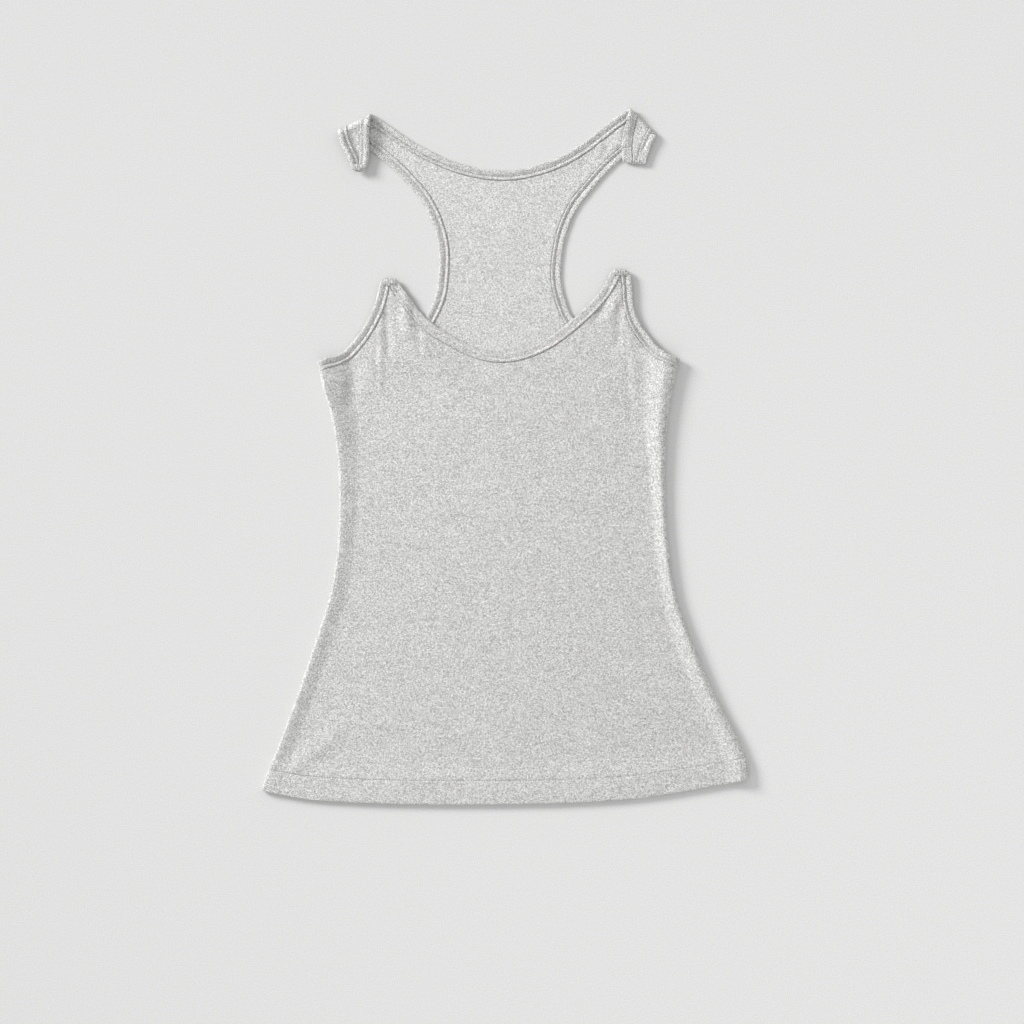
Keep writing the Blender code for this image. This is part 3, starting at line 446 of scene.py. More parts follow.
def folds(table, x, height):
    """Rise of the soft folds and troughs of a table."""
    rise = np.zeros(len(x))
    for x0, h0, x1, h1, half_width, peak in table:
        length = np.hypot(x1 - x0, h1 - h0)
        run = ((x - x0) * (x1 - x0) + (height - h0) * (h1 - h0)) / length
        across = ((x - x0) * (h1 - h0) - (height - h0) * (x1 - x0)) / length
        share = np.clip(run / length, 0.0, 1.0)
        fade = ramp(FOLD_FADE * share * (1.0 - share))
        rise += peak * (1.0 - ramp(np.abs(across) / half_width)) * fade
    return rise


def in_front(arc, height):
    """Whether a place round the side is on the front."""
    return (arc >= 0) & (height < STRAP_FROM)


class Side:
    """One side of the garment, with distances measured out from the centre line."""

    def __init__(self, sign, rows, fold_height, front, back, flap_arm, flap_neck, crease, radius):
        self.sign = sign
        self.rows = np.array(rows, float)
        up = self.rows[:, 2] * HALF_PI
        turn = np.arccos(1.0 - self.rows[:, 5] / self.rows[:, 2]) / HALF_PI
        self.seam = up * turn
        apex, corner = np.array(crease, float)
        way = (corner - apex) / np.linalg.norm(corner - apex)
        self.out = np.array([-way[1], way[0]])
        if self.out[1] < 0:
            self.out = -self.out
        self.radius = radius
        self.crease = apex - (radius + BINDING_HALF) * self.out
        self.lay_way = way
        flap_arm = self.unfold(np.array(flap_arm, float))
        self.flap_neck = self.unfold(np.array(flap_neck, float))
        self.front_line = self.arcs(np.array(front, float), True)
        self.back_line = np.vstack([np.array(back, float), flap_arm])
        back_arcs = self.arcs(self.back_line, False)
        self.armhole = dense(
            np.vstack([self.front_line[::-1], [[0.0, fold_height]], back_arcs])
        )
        # the armhole's edge on the back panel alone, as (u, height)
        behind = self.armhole[~in_front(self.armhole[:, 0], self.armhole[:, 1])]
        u = self.back_u(behind[:, 0], behind[:, 1])
        self.back_edge = np.stack([self.sign * u, behind[:, 1]], axis=1)

    def shape(self, height):
        """Edge, crest inset, crest height and slope run at these heights."""
        values = through(self.rows[:, 0], self.rows[:, 1:5], height)
        return values[..., 0], values[..., 1], values[..., 2], values[..., 3]

    def seam_arc(self, height):
        return np.maximum(through(self.rows[:, 0], self.seam, height), 0.0)

    def arcs(self, points, front):
        """(arc, height) of points seen from above on the front or on the back."""
        edge, inset, _, _ = self.shape(points[:, 1])
        if not front:
            inset = np.full(len(points), UNDER_INSET)
        back_off = edge - points[:, 0]
        turn = np.arccos(np.clip(1.0 - back_off / inset, 0.0, 1.0))
        flat = (back_off > inset) | (points[:, 1] > STRAP_FROM)
        arc = np.where(flat, inset * HALF_PI + back_off - inset, inset * turn)
        return np.stack([arc if front else -arc, points[:, 1]], axis=1)

    def unfold(self, points):
        """Where points of the laid flap are on the strap drawn out flat."""
        out = (points - self.crease) @ self.out
        curve = np.arcsin(np.clip(out / (self.radius + BINDING_HALF), 0.0, 1.0)) * self.radius
        run = np.pi * self.radius - np.where(out > 0, curve, out)
        return points + (run - out)[:, None] * self.out

    def front_u(self, arc, height):
        edge, inset, _, _ = self.shape(height)
        return edge - inset + inset * HALF_PI - arc

    def back_u(self, arc, height):
        edge = self.shape(height)[0]
        return edge - UNDER_INSET + UNDER_INSET * HALF_PI + arc

    def panel_u(self, arc, height, on_front):
        return self.front_u(arc, height) if on_front else self.back_u(arc, height)

    def band_point(self, points):
        """(arc, height) to space."""
        return self.place(points[:, 0], points[:, 1])

    def past_crease(self, out, height):
        return (out - self.crease[0]) * self.out[0] + (height - self.crease[1]) * self.out[1]

    def place(self, arc, height):
        """Points of the middle of the cloth, in space."""
        edge, inset, crest, run = self.shape(height)
        front = in_front(arc, height)
        radius = np.where(front, inset, UNDER_INSET)
        turn = np.clip(np.abs(arc) / radius, 0.0, HALF_PI)
        flat = np.maximum(np.abs(arc) - radius * HALF_PI, 0.0)
        out = edge - radius * (1.0 - np.cos(turn)) - flat
        strap = height > STRAP_FROM
        out = np.where(strap, self.back_u(arc, height), out)
        turn = np.where(strap, HALF_PI, turn)
        x = self.sign * out
        middle = crest * (LEFT_WAIST if self.sign < 0 else RIGHT_WAIST)
        over = front_level(x, height)
        under = back_level(x, height)
        z = np.where(
            front,
            middle + (crest - middle) * np.sin(turn) + (over - crest) * fall(flat / run),
            middle - (middle - under) * np.sin(turn),
        )
        past = self.past_crease(out, height)
        folded = (past > 0) & ~front
        angle = np.clip(past / self.radius, 0.0, np.pi)
        beyond = np.maximum(past - np.pi * self.radius, 0.0)
        reach = self.radius + BINDING_HALF - z
        shift = np.where(folded, reach * np.sin(angle) - beyond - past, 0.0)
        drop = FLAP_DROOP * ramp(beyond / FLAP_RUN)
        if self.sign > 0:
            over_lay = (out - self.crease[0]) * self.lay_way[0]
            over_lay = over_lay + (height - self.crease[1]) * self.lay_way[1]
            drop = drop + FLAP_TILT * ramp(over_lay / FLAP_TILT_RUN) * (1.0 - np.cos(angle)) / 2
        laid = BINDING_HALF + self.radius - reach * np.cos(angle) - drop
        eased = FLAP_REST + np.logaddexp(0.0, (laid - FLAP_REST) / FLAP_REST_EASE) * FLAP_REST_EASE
        resting = ramp((angle - HALF_PI) / HALF_PI)
        z = np.where(folded, laid + (eased - laid) * resting, z)
        out = out + shift * self.out[0]
        height = height + shift * self.out[1]
        return np.stack([self.sign * out, height, z], axis=1)


def edge_rise(inside):
    """How far the cloth is lifted by the thickness of its binding."""
    return BINDING_RISE * (1.0 - ramp((inside - BINDING_EASE_FROM) / BINDING_EASE))


def front_level(x, height):
    """Height of the middle of the front panel away from the side rolls."""
    up = above_hem(x, height)
    thick = WALL + (HEM_WALL - WALL) * (1.0 - ramp((up - HEM_DEPTH - HEM_STEP) / HEM_EASE))
    here = np.stack([x, height], axis=1)
    neck = edge_rise(depth(here, FRONT_NECK_LINE[::3], -1.0))
    chest = np.zeros(len(x))
    tip = np.zeros(len(x))
    for side, cut in zip(SIDES, (FRONT_CUT_LEFT, FRONT_CUT_RIGHT)):
        mine = side.sign * x > 0
        if not mine.any():
            continue
        hole = depth(here[mine], side.back_edge[::3], side.sign)
        chest[mine] = CHEST_LIFT * (1.0 - ramp(hole / CHEST_RUN))
        end = at_height(FRONT_NECK_LINE if side.sign < 0 else FRONT_NECK_LINE[::-1], cut)
        tip[mine] = TIP_LIFT * (1.0 - ramp(np.hypot(*(here[mine] - end).T) / TIP_RUN))
    lift = HEM_LIFT * (1.0 - ramp(up / HEM_LIFT_RUN))
    soft = folds(CHEST_FOLDS + SKIRT_FOLDS, x, height)
    return 1.5 * thick + GAP + lift + np.hypot(neck, chest) + tip + soft


def back_level(x, height):
    """Height of the middle of the back panel, drawn out flat."""
    here = np.stack([x, height], axis=1)
    inside = depth(here, BACK_NECK_LINE[::3], -1.0)
    flap = np.zeros(len(x))
    for side in SIDES:
        mine = side.sign * x > 0
        if not mine.any():
            continue
        inside[mine] = np.minimum(inside[mine], depth(here[mine], side.back_edge[::3], side.sign))
        past = side.past_crease(np.abs(x[mine]), height[mine])
        flap[mine] = ramp((past - side.radius * HALF_PI) / (side.radius * FLAP_SETTLE))
    laid = edge_rise(inside) + folds(BACK_FOLDS, x, height)
    sink, start, run = np.array(FLAP_VALLEYS)[(x > 0).astype(int)].T
    turned = BINDING_RISE + sink * ramp((inside - start) / run)
    turned += np.where(x < 0, *FLAP_CURLS) * ramp((-inside - FLAP_CURL_FROM) / FLAP_CURL_RUN)
    return wall(x, height) / 2 + laid + flap * (turned - laid)


def at_height(line, height):
    """First point of a line where it comes down to this height."""
    first = np.argmax(line[:, 1] <= height)
    return line[first]


LEFT = Side(
    -1, LEFT_SIDE, FOLD_HEIGHT_LEFT, FRONT_ARMHOLE_LEFT, BACK_ARMHOLE_LEFT,
    FLAP_ARM_LEFT, FLAP_NECK_LEFT, CREASE_LEFT, CREASE_RADIUS_LEFT,
)
RIGHT = Side(
    1, RIGHT_SIDE, FOLD_HEIGHT_RIGHT, FRONT_ARMHOLE_RIGHT, BACK_ARMHOLE_RIGHT,
    FLAP_ARM_RIGHT, FLAP_NECK_RIGHT, CREASE_RIGHT, CREASE_RADIUS_RIGHT,
)
SIDES = (LEFT, RIGHT)
FRONT_NECK_LINE = dense(FRONT_NECK)
BACK_NECK_LINE = dense(
    np.vstack([LEFT.flap_neck[::-1] * (-1, 1), np.array(BACK_NECK, float), RIGHT.flap_neck])
)


def panel_point(points, on_front):
    """(u, height) on a panel to space."""
    placed = np.empty((len(points), 3))
    for side in SIDES:
        mine = points[:, 0] >= 0 if side.sign > 0 else points[:, 0] < 0
        u, height = np.abs(points[mine, 0]), points[mine, 1]
        to_edge = side.panel_u(0.0, height, on_front) - u
        placed[mine] = side.place(to_edge if on_front else -to_edge, height)
    return placed


def front_point(points):
    return panel_point(points, True)


def back_point(points):
    return panel_point(points, False)


def slopes_of(place, points, step=0.05):
    """How the placed cloth runs with each of its two coordinates."""
    first = np.array([step, 0.0])
    second = np.array([0.0, step])
    return (
        (place(points + first) - place(points - first)) / (2 * step),
        (place(points + second) - place(points - second)) / (2 * step),
    )


def facing(place, points):
    across, up = slopes_of(place, points)
    normal = np.cross(across, up)
    return normal / np.linalg.norm(normal, axis=1)[:, None]


class Edge:
    """A bound edge: its line, the surface that it lies on and which way leads off the cloth."""

    def __init__(self, line, place, outward):
        self.line = line
        self.place = place
        self.outward = outward
        self.length = along(line)[-1]

    def square_off(self, runs):
        """Points of the line, and the step on the flat cloth that goes 1 mm off it in space."""
        path = at_run(self.line, runs)
        heading = at_run(self.line, runs + HEADING_STEP) - at_run(self.line, runs - HEADING_STEP)
        across, up = slopes_of(self.place, path)
        e = (across * across).sum(1)
        f = (across * up).sum(1)
        g = (up * up).sum(1)
        off = np.stack(
            [-(f * heading[:, 0] + g * heading[:, 1]), e * heading[:, 0] + f * heading[:, 1]],
            axis=1,
        )
        length = np.linalg.norm(across * off[:, :1] + up * off[:, 1:], axis=1)
        return path, off * self.outward / length[:, None]

    def spot(self, run):
        """A point in space on the binding, this far from its start or back from its end."""
        path, off = self.square_off(np.array([run if run > 0 else self.length + run]))
        return self.place(path + off * ROLL_OUT)[0]


FRONT_NECK_EDGE = Edge(FRONT_NECK_LINE, front_point, 1.0)
BACK_NECK_EDGE = Edge(BACK_NECK_LINE, back_point, 1.0)
ARMHOLES = tuple(Edge(side.armhole, side.band_point, -1.0) for side in SIDES)


# ---- the cloth as a mesh -------------------------------------------------------------------------


def edge_u(points, on_front):
    """Where the garment's outermost line is, on a panel's own u, at these heights."""
    edges = (side.panel_u(0.0, points[:, 1], on_front) for side in SIDES)
    return np.where(points[:, 0] < 0, *edges)


def hem_x(points, on_front):
    """Where along the hem's curve these panel points hang."""
    if on_front:
        return points[:, 0]
    u = np.abs(points[:, 0])
    arc = u - edge_u(points, False)
    return np.sign(points[:, 0]) * np.where(arc > 0, edge_u(points, True) - arc, u)


def even_out(points, on_front):
    """Panel points on a chart where the columns beside the sides run straight up."""
    sign = np.where(points[:, 0] < 0, -1.0, 1.0)
    u = np.abs(points[:, 0])
    inner = edge_u(points, on_front) - ROLL_ZONE
    width = np.where(u > inner, INNER_WIDTH + u - inner, u / inner * INNER_WIDTH)
    return np.stack([sign * width, above_hem(hem_x(points, on_front), points[:, 1])], axis=1)


def from_even(points, on_front):
    """The panel points that even_out puts here."""
    sign = np.where(points[:, 0] < 0, -1.0, 1.0)
    width = np.abs(points[:, 0])
    placed = points.copy()
    for _ in range(SETTLE):
        inner = edge_u(placed, on_front) - ROLL_ZONE
        rolled = width > INNER_WIDTH
        u = np.where(rolled, inner + width - INNER_WIDTH, width / INNER_WIDTH * inner)
        placed = np.stack([sign * u, placed[:, 1]], axis=1)
        placed[:, 1] = row_height(hem_x(placed, on_front), points[:, 1])
    return placed


def within(points, outline):
    """Which points an outline encloses."""
    x0, y0 = outline[:, 0][None], outline[:, 1][None]
    x1, y1 = np.roll(outline[:, 0], -1)[None], np.roll(outline[:, 1], -1)[None]
    rise = np.where(y1 == y0, 1.0, y1 - y0)
    found = np.empty(len(points), bool)
    for start in range(0, len(points), CHUNK):
        x, y = points[start : start + CHUNK, 0][:, None], points[start : start + CHUNK, 1][:, None]
        crosses = (y0 > y) != (y1 > y)
        hits = crosses & (x < x0 + (y - y0) / rise * (x1 - x0))
        found[start : start + CHUNK] = hits.sum(1) % 2 == 1
    return found


def columns_of(pitch, over):
    """Columns of the evened-out chart, close beside the sides."""
    inner = np.arange(pitch / 2, INNER_WIDTH, pitch)
    slope = np.arange(PANEL_WIDTH - ROLL_ZONE, PANEL_WIDTH - ROLL_REACH, pitch)
    roll = np.arange(PANEL_WIDTH - ROLL_REACH, PANEL_WIDTH + over, ROLL_PITCH)
    half = np.concatenate([inner, slope, roll])
    return np.concatenate([-half[::-1], half])


def rows_of(pitch):
    low = np.arange(0.0, HEM_ROWS[0] - pitch / 2, pitch)
    high = np.arange(HEM_ROWS[-1] + pitch / 2, LENGTH + pitch, pitch)
    return np.concatenate([low, HEM_ROWS, high])


def even_steps(line, pitch):
    total = along(line)[-1]
    return at_run(line, np.linspace(0.0, total, int(total / pitch) + 1))


def seam_points(side, on_front, rows):
    """A side seam's line on one panel from the hem to the armhole, and the arc where it ends."""
    offset = SEAM_HALF_GAP if on_front else -SEAM_HALF_GAP
    line = side.armhole
    beyond = line[:, 0] - side.seam_arc(line[:, 1]) - offset
    cross = np.argmax(beyond <= 0)
    share = beyond[cross - 1] / (beyond[cross - 1] - beyond[cross])
    top = line[cross - 1] + share * (line[cross] - line[cross - 1])
    rows = rows[rows < top[1] - EDGE_PITCH]
    height = rows
    for _ in range(SETTLE):
        u = side.panel_u(side.seam_arc(height) + offset, height, on_front)
        height = row_height(hem_x(np.stack([side.sign * u, height], axis=1), on_front), rows)
    u = np.append(u, side.panel_u(top[0], top[1:], on_front))
    return np.stack([side.sign * u, np.append(height, top[1])], axis=1), top[0]


def share_of(side, line, on_front, seam, clear):
    """The part of a line of (arc, height) on one panel, clear of its seam, as (u, height)."""
    arc, height = line.T
    strap = height > STRAP_FROM
    mine = (arc > seam + clear) & ~strap if on_front else (arc < seam - clear) | strap
    return np.stack([side.sign * side.panel_u(arc, height, on_front), height], axis=1)[mine]


def trimmed(line, rising, limit):
    """A line cut where the value that rises along it reaches the limit."""
    first = np.argmax(rising >= limit)
    share = (limit - rising[first - 1]) / (rising[first] - rising[first - 1])
    end = line[first - 1] + share * (line[first] - line[first - 1])
    keep = rising < limit - 1.0
    keep[first:] = False
    return np.vstack([line[keep], end])


def tip_of(side, line):
    """A front edge that rises to its tip, cut where the panel ends."""
    return trimmed(line, line[:, 1], FRONT_CUT_LEFT if side is LEFT else FRONT_CUT_RIGHT)


def strap_of(side, line):
    """A back edge that runs out along the strap, cut where the panel ends."""
    past = side.past_crease(np.abs(line[:, 0]), line[:, 1])
    cut = FLAP_CUT_LEFT if side is LEFT else FLAP_CUT_RIGHT
    return trimmed(line, past, min(cut, past.max() - CUT_SPARE))


def panel_outline(on_front, columns, rows):
    """A panel's edge, anticlockwise from the left end of the hem, and which of it is bound."""
    line = FRONT_NECK_LINE if on_front else BACK_NECK_LINE
    end_of = tip_of if on_front else strap_of
    neck = even_steps(line, EDGE_PITCH)
    low = np.argmin(neck[:, 1])
    seams, arms, necks = [], [], []
    for side, half in zip(SIDES, (neck[: low + 1][::-1], neck[low + 1 :])):
        seam, arc = seam_points(side, on_front, rows)
        seams.append(seam)
        arm = share_of(side, even_steps(side.armhole, EDGE_PITCH), on_front, arc, 1.0)
        arms.append(end_of(side, arm[::-1] if on_front else arm))
        necks.append(end_of(side, half))
    hem = from_even(np.stack([columns, np.zeros(len(columns))], axis=1), on_front)
    inside = (hem[:, 0] > seams[0][0, 0] + SEAM_CLEAR) & (hem[:, 0] < seams[1][0, 0] - SEAM_CLEAR)
    parts = [seams[0][:1], hem[inside], seams[1], arms[1], necks[1][::-1], necks[0],
             arms[0][::-1], seams[0][:0:-1]]
    bound = np.repeat([0.0, 0.0, 0.0, 1.0, 1.0, 1.0, 1.0, 0.0], [len(part) for part in parts])
    return np.vstack(parts), bound


def strap_points(side):
    """Points across a strap along its bend and its flap, drawn out flat."""
    past, across = np.meshgrid(
        np.arange(*STRAP_PAST, STRAP_PITCH / 2), np.arange(*STRAP_ALONG, STRAP_PITCH)
    )
    out = side.crease + past.reshape(-1, 1) * side.out + across.reshape(-1, 1) * side.lay_way
    return np.stack([side.sign * out[:, 0], out[:, 1]], axis=1)


def drawn_down(on_front):
    """Points in rows beside a panel's bound edges, and how far the cloth dips there."""
    points, dips = [], []
    for inward, share in DIP_ROWS:
        rows = []
        for edge in (FRONT_NECK_EDGE if on_front else BACK_NECK_EDGE, *ARMHOLES):
            path, off = edge.square_off(np.arange(EDGE_PITCH / 2, edge.length, EDGE_PITCH))
            rows.append(path - inward * off)
        for order, side in enumerate(SIDES, 1):
            seam = side.seam_arc(rows[order][:, 1])
            rows[order] = share_of(side, rows[order], on_front, seam, SEAM_CLEAR)
        points += rows
        dips.append(np.full(sum(len(row) for row in rows), share))
    return np.vstack(points), np.concatenate(dips)


def panel_points(on_front, columns, rows, pitch, outline):
    """Points inside a panel, clear of its outline, and how far the cloth dips there."""
    grid = np.stack(np.meshgrid(columns, rows), axis=2).reshape(-1, 2)
    points = from_even(grid, on_front)
    if not on_front:
        for side in SIDES:
            mine = side.sign * points[:, 0] > 0
            past = side.past_crease(np.abs(points[:, 0]), points[:, 1])
            strap = mine & (points[:, 1] > STRAP_FROM) & (past > -STRAP_CLEAR)
            points = np.vstack([points[~strap], strap_points(side)])
    closed = np.vstack([outline, outline[:1]])

    def clear(spots, least):
        far = np.abs(depth(spots, closed, 1.0, 0.0)) > least
        return spots[far], far

    points, _ = clear(points[within(points, outline)], CLEAR_SHARE * min(pitch, EDGE_PITCH))
    beside, dips = drawn_down(on_front)
    inside = within(beside, outline)
    beside, far = clear(beside[inside], DIP_CLEAR)
    dips = dips[inside][far]
    apart = KDTree(len(beside))
    for index, spot in enumerate(beside):
        apart.insert((*spot, 0.0), index)
    apart.balance()
    lone = [apart.find((*spot, 0.0))[2] > DIP_ROOM for spot in points]
    points = points[lone]
    return np.vstack([points, beside]), np.concatenate([np.zeros(len(points)), dips])


def from_side(points, on_front):
    """Share of a binding's relief that is left, by how far the cloth is from its side's edge."""
    arc = np.abs(edge_u(points, on_front) - np.abs(points[:, 0]))
    return np.where(points[:, 1] > STRAP_FROM, 1.0, ramp((arc - CALM_FROM) / CALM_RUN))


def out_of_edge(place, ring):
    """Unit directions in the cloth, square to its edge and pointing off it."""
    spots = place(ring)
    along_edge = np.roll(spots, -1, axis=0) - np.roll(spots, 1, axis=0)
    out = np.cross(along_edge, facing(place, ring))
    return out / np.linalg.norm(out, axis=1)[:, None]


def triangles_of(chart, ring):
    edges = [(k, (k + 1) % ring) for k in range(ring)]
    made = delaunay_2d_cdt([Vector(point) for point in chart], edges, [], 1, CLOSE)
    origin = np.array([found[0] for found in made[3]])
    return origin[np.array([tuple(face) for face in made[2]])]


def cut_panel(name, on_front, pitch, under_step):
    """A panel of cloth: an outer and an inner face with a rounded rim."""
    place = front_point if on_front else back_point
    columns = columns_of(pitch, 0.0 if on_front else ROLL_OVER)
    rows = rows_of(pitch)
    outline, bound = panel_outline(on_front, columns, rows)
    ring = len(outline)
    grids = [(columns, rows)]
    if under_step > 1:
        grids.append((columns[::under_step], rows[::under_step]))
    sheets = []
    for some_columns, some_rows in grids:
        inner, dips = panel_points(on_front, some_columns, some_rows, pitch, outline)
        flat = np.vstack([outline, inner])
        dips = np.concatenate([bound, dips]) * from_side(flat, on_front) * DIP
        sheets.append((flat, dips, triangles_of(even_out(flat, on_front), ring)))
    points, faces, charts = [], [], []
    count = 0
    starts = []
    for turn, (flat, dips, triangles) in zip((1.0, -1.0), sheets * (3 - len(sheets))):
        x = hem_x(flat, on_front)
        from_stitch = (above_hem(x, flat[:, 1]) - HEM_STITCH) / HEM_GROOVE_HALF
        normal = facing(place, flat)
        drawn = np.where(turn * normal[:, 2] > 0, dips, -DIP_UNDER * dips)
        half = wall(x, flat[:, 1]) / 2 - drawn - HEM_GROOVE * np.exp(-(from_stitch**2))
        points.append(place(flat) + turn * normal * half[:, None])
        charts.append(flat)
        faces.append(triangles[:, :: int(turn)] + count)
        starts.append(count)
        count += len(flat)
    out = out_of_edge(place, outline)
    hem = above_hem(hem_x(outline, on_front), outline[:, 1])[:, None] < 1.0
    run = np.roll(outline, -1, axis=0) - np.roll(outline, 1, axis=0)
    off = np.stack([run[:, 1], -run[:, 0]], axis=1) / np.linalg.norm(run, axis=1)[:, None]
    over, under = points[0][:ring], points[1][:ring]
    bulge = np.where(hem, HEM_BULGE, RIM_BULGE)
    rings = [np.arange(ring) + starts[0]]
    for turn in RIM_TURNS:
        angle = math.radians(turn)
        lift = (over - under) / 2 * math.sin(angle)
        points.append((over + under) / 2 + out * bulge * math.cos(angle) + lift)
        charts.append(outline + off * RIM_CLOTH * (1.0 - abs(turn) / 90.0))
        rings.append(np.arange(ring) + count)
        count += ring
    rings.append(np.arange(ring) + starts[1])
    for upper, lower in zip(rings, rings[1:]):
        after, under = np.roll(upper, -1), np.roll(lower, -1)
        faces.append(np.stack([after, upper, lower], axis=1))
        faces.append(np.stack([after, lower, under], axis=1))
    chart = np.vstack(charts) + (0.0 if on_front else np.array(BACK_CLOTH))
    piece = sew(name, np.vstack(points), np.vstack(faces), chart)
    piece.data.set_sharp_from_angle(angle=math.radians(RIM_CREASE))
    return piece


def put(name, data):
    """A new object in the scene."""
    made = bpy.data.objects.new(name, data)
    bpy.context.scene.collection.objects.link(made)
    return made


def sew(name, points, faces, chart):
    """A finished piece of cloth, with its place on the flat cloth as its UV map, in metres."""
    mesh = bpy.data.meshes.new(name)
    shift = np.array([0.0, -LENGTH / 2, 0.0])
    mesh.from_pydata(((points + shift) * METRES).tolist(), [], faces.tolist())
    corners = np.empty(len(mesh.loops), np.int32)
    mesh.loops.foreach_get("vertex_index", corners)
    flat = mesh.uv_layers.new(name="cut")
    flat.data.foreach_set("uv", (chart[corners] * METRES).astype(np.float32).ravel())
    mesh.shade_smooth()
    return put(name, mesh)


# ---- bindings ------------------------------------------------------------------------------------


def calm_of(path, outward):
    """Share by which a binding is flattened, where it passes round the side or over the flap."""
    if outward < 0:
        return 1.0 - ramp((np.abs(path[:, 0]) - CALM_FROM) / CALM_RUN)
    past = RIGHT.past_crease(path[:, 0], path[:, 1])
    return np.where(path[:, 1] > STRAP_FROM, ramp(past / CALM_RUN), 0.0)


def bind_edge(name, edge, section, ends, seed):
    """A binding folded over a panel's edge, on the same surface as the panel."""
    total = edge.length
    first, last = (np.array(END_STEPS) * end[0] for end in ends)
    middle = np.arange(first[-1] + BAND_PITCH, total - last[-1] - BAND_PITCH / 2, BAND_PITCH)
    runs = np.concatenate([first, middle, (total - last)[::-1]])
    path, off = edge.square_off(runs)
    starting = runs < total / 2
    from_end = np.where(starting, runs, total - runs)
    rounding, core, loss = (np.where(starting, a, b) for a, b in zip(*ends))
    size = np.sqrt(1.0 - (1.0 - np.clip(from_end / rounding, 0.0, 1.0)) ** 2)
    width = 1.0 - loss * (1.0 - ramp(from_end / NARROWING_RUN))
    pull = 0.5 + 0.5 * np.cos(2 * np.pi * runs / STITCH_PITCH)
    wander = wavering(runs, seed)
    calm = calm_of(path, edge.outward)
    rings, charts = [], []
    girth = 0.0
    before = section[0]
    for out, rise in (*section, *((out, -rise) for out, rise in section[-2::-1])):
        near = math.exp(-(((out - GROOVE_OUT) / GROOVE_WIDTH) ** 2))
        puff = 1.0 - PUCKER * near * pull + EDGE_PUFF * wander
        sway = EDGE_SWAY * wander * min(out / BINDING_WIDTH, 1.0)
        reach = (core + (out - core) * size + sway * size) * width
        spot = path + off * reach[:, None]
        up = facing(edge.place, spot)
        level = rise
        if CALM_SPAN[0] < out < CALM_SPAN[1]:
            calmed = math.copysign(BAND_CALM + BAND_CALM_RISE * max(out, 0.0), rise)
            level = rise + (calmed - rise) * calm
        high = level * size * puff
        middle = edge.place(spot)
        room = np.clip(middle[:, 2], 0.0, BINDING_HALF)
        high = np.where(high * up[:, 2] < 0, np.clip(high, -room, room), high)
        rings.append(middle + up * high[:, None])
        girth += math.hypot(out - before[0], rise - before[1])
        before = (out, rise)
        charts.append(np.stack([runs, np.full(len(runs), girth + seed * BAND_APART)], axis=1))
    return closed_tube(name, np.stack(rings, axis=1), np.stack(charts, axis=1))


def closed_tube(name, rings, charts):
    """A skin over rings of points, drawn together at both ends."""
    count, sides = rings.shape[:2]
    points = np.vstack([rings.reshape(-1, 3), rings[0].mean(0), rings[-1].mean(0)])
    chart = np.vstack([charts.reshape(-1, 2), charts[0].mean(0), charts[-1].mean(0)])
    j = np.arange(sides)
    n = (j + 1) % sides
    base = (np.arange(count - 1) * sides)[:, None]
    a, b, c, d = base + j, base + n, base + sides + n, base + sides + j
    faces = [
        np.stack([a, b, c], axis=2).reshape(-1, 3),
        np.stack([a, c, d], axis=2).reshape(-1, 3),
        np.stack([np.full(sides, count * sides), n, j], axis=1),
        np.stack([np.full(sides, count * sides + 1), j, n], axis=1) + (count - 1) * sides
        * np.array([0, 1, 1]),
    ]
    faces = np.vstack(faces)
    if signed_volume(points, faces) < 0:
        faces = faces[:, ::-1]
    return sew(name, points, faces, chart)


def seam_roll(name, start, end, radius, seed):
    """A knobbly roll of cut edges across a seam, and the line of the thread wound round it."""
    axis = (end - start) / np.linalg.norm(end - start)
    side = np.cross(axis, (0.0, 0.0, 1.0))
    side /= np.linalg.norm(side)
    up = np.cross(side, axis)
    half = np.linalg.norm(end - start) / 2 + ROLL_SPARE * radius

    def skin(t, angle, extra):
        size = np.sqrt(1.0 - t**4) * radius
        lumps = 1.0
        for rise, waves, turns, own in ROLL_LUMPS:
            lumps = lumps + rise * np.sin(waves * t + turns * angle + own * seed)
        out = np.cos(angle)[..., None] * side + ROLL_FLAT * np.sin(angle)[..., None] * up
        spot = (start + end) / 2 + (t * half)[..., None] * axis
        return spot + (size * lumps + extra)[..., None] * out, out

    turns = np.arange(ROLL_SIDES) * np.pi / (ROLL_SIDES / 2)
    t, angle = np.meshgrid(np.linspace(-ROLL_SHARE, ROLL_SHARE, ROLL_RINGS), turns, indexing="ij")
    charts = np.stack([t * half + seed * ROLL_APART, angle * radius], axis=2)
    made = closed_tube(name, skin(t, angle, 0.0 * t)[0], charts)
    wind = np.linspace(-THREAD_SHARE, THREAD_SHARE, THREAD_STEPS * ROLL_TURNS)
    wound = wind * np.pi * ROLL_TURNS / THREAD_SHARE
    return made, skin(wind, wound, np.full(len(wind), THREAD_OVER))


def signed_volume(points, faces):
    a, b, c = (points[faces[:, k]] for k in range(3))
    return float((a * np.cross(b, c)).sum())


def wavering(runs, seed):
    """A slow uneven wave along a sewn edge, between about -1 and 1."""
    made = np.zeros(len(runs))
    for order, (pitch, share) in enumerate(WAVES):
        shift = WAVE_SHIFTS[0] * seed, WAVE_SHIFTS[1] * order
        made += share * np.sin(2 * np.pi * runs / pitch + shift[0] + shift[1])
    return made


# ---- stitches ------------------------------------------------------------------------------------


def link_node(tree, kind, inputs=(), **settings):
    """A node with its settings, its inputs given as values or as sockets to link."""
    made = tree.nodes.new(kind)
    for key, value in settings.items():
        setattr(made, key, value)
    for key, value in dict(inputs).items():
        if isinstance(value, bpy.types.NodeSocket):
            tree.links.new(value, made.inputs[key])
        else:
            made.inputs[key].default_value = value
    return made


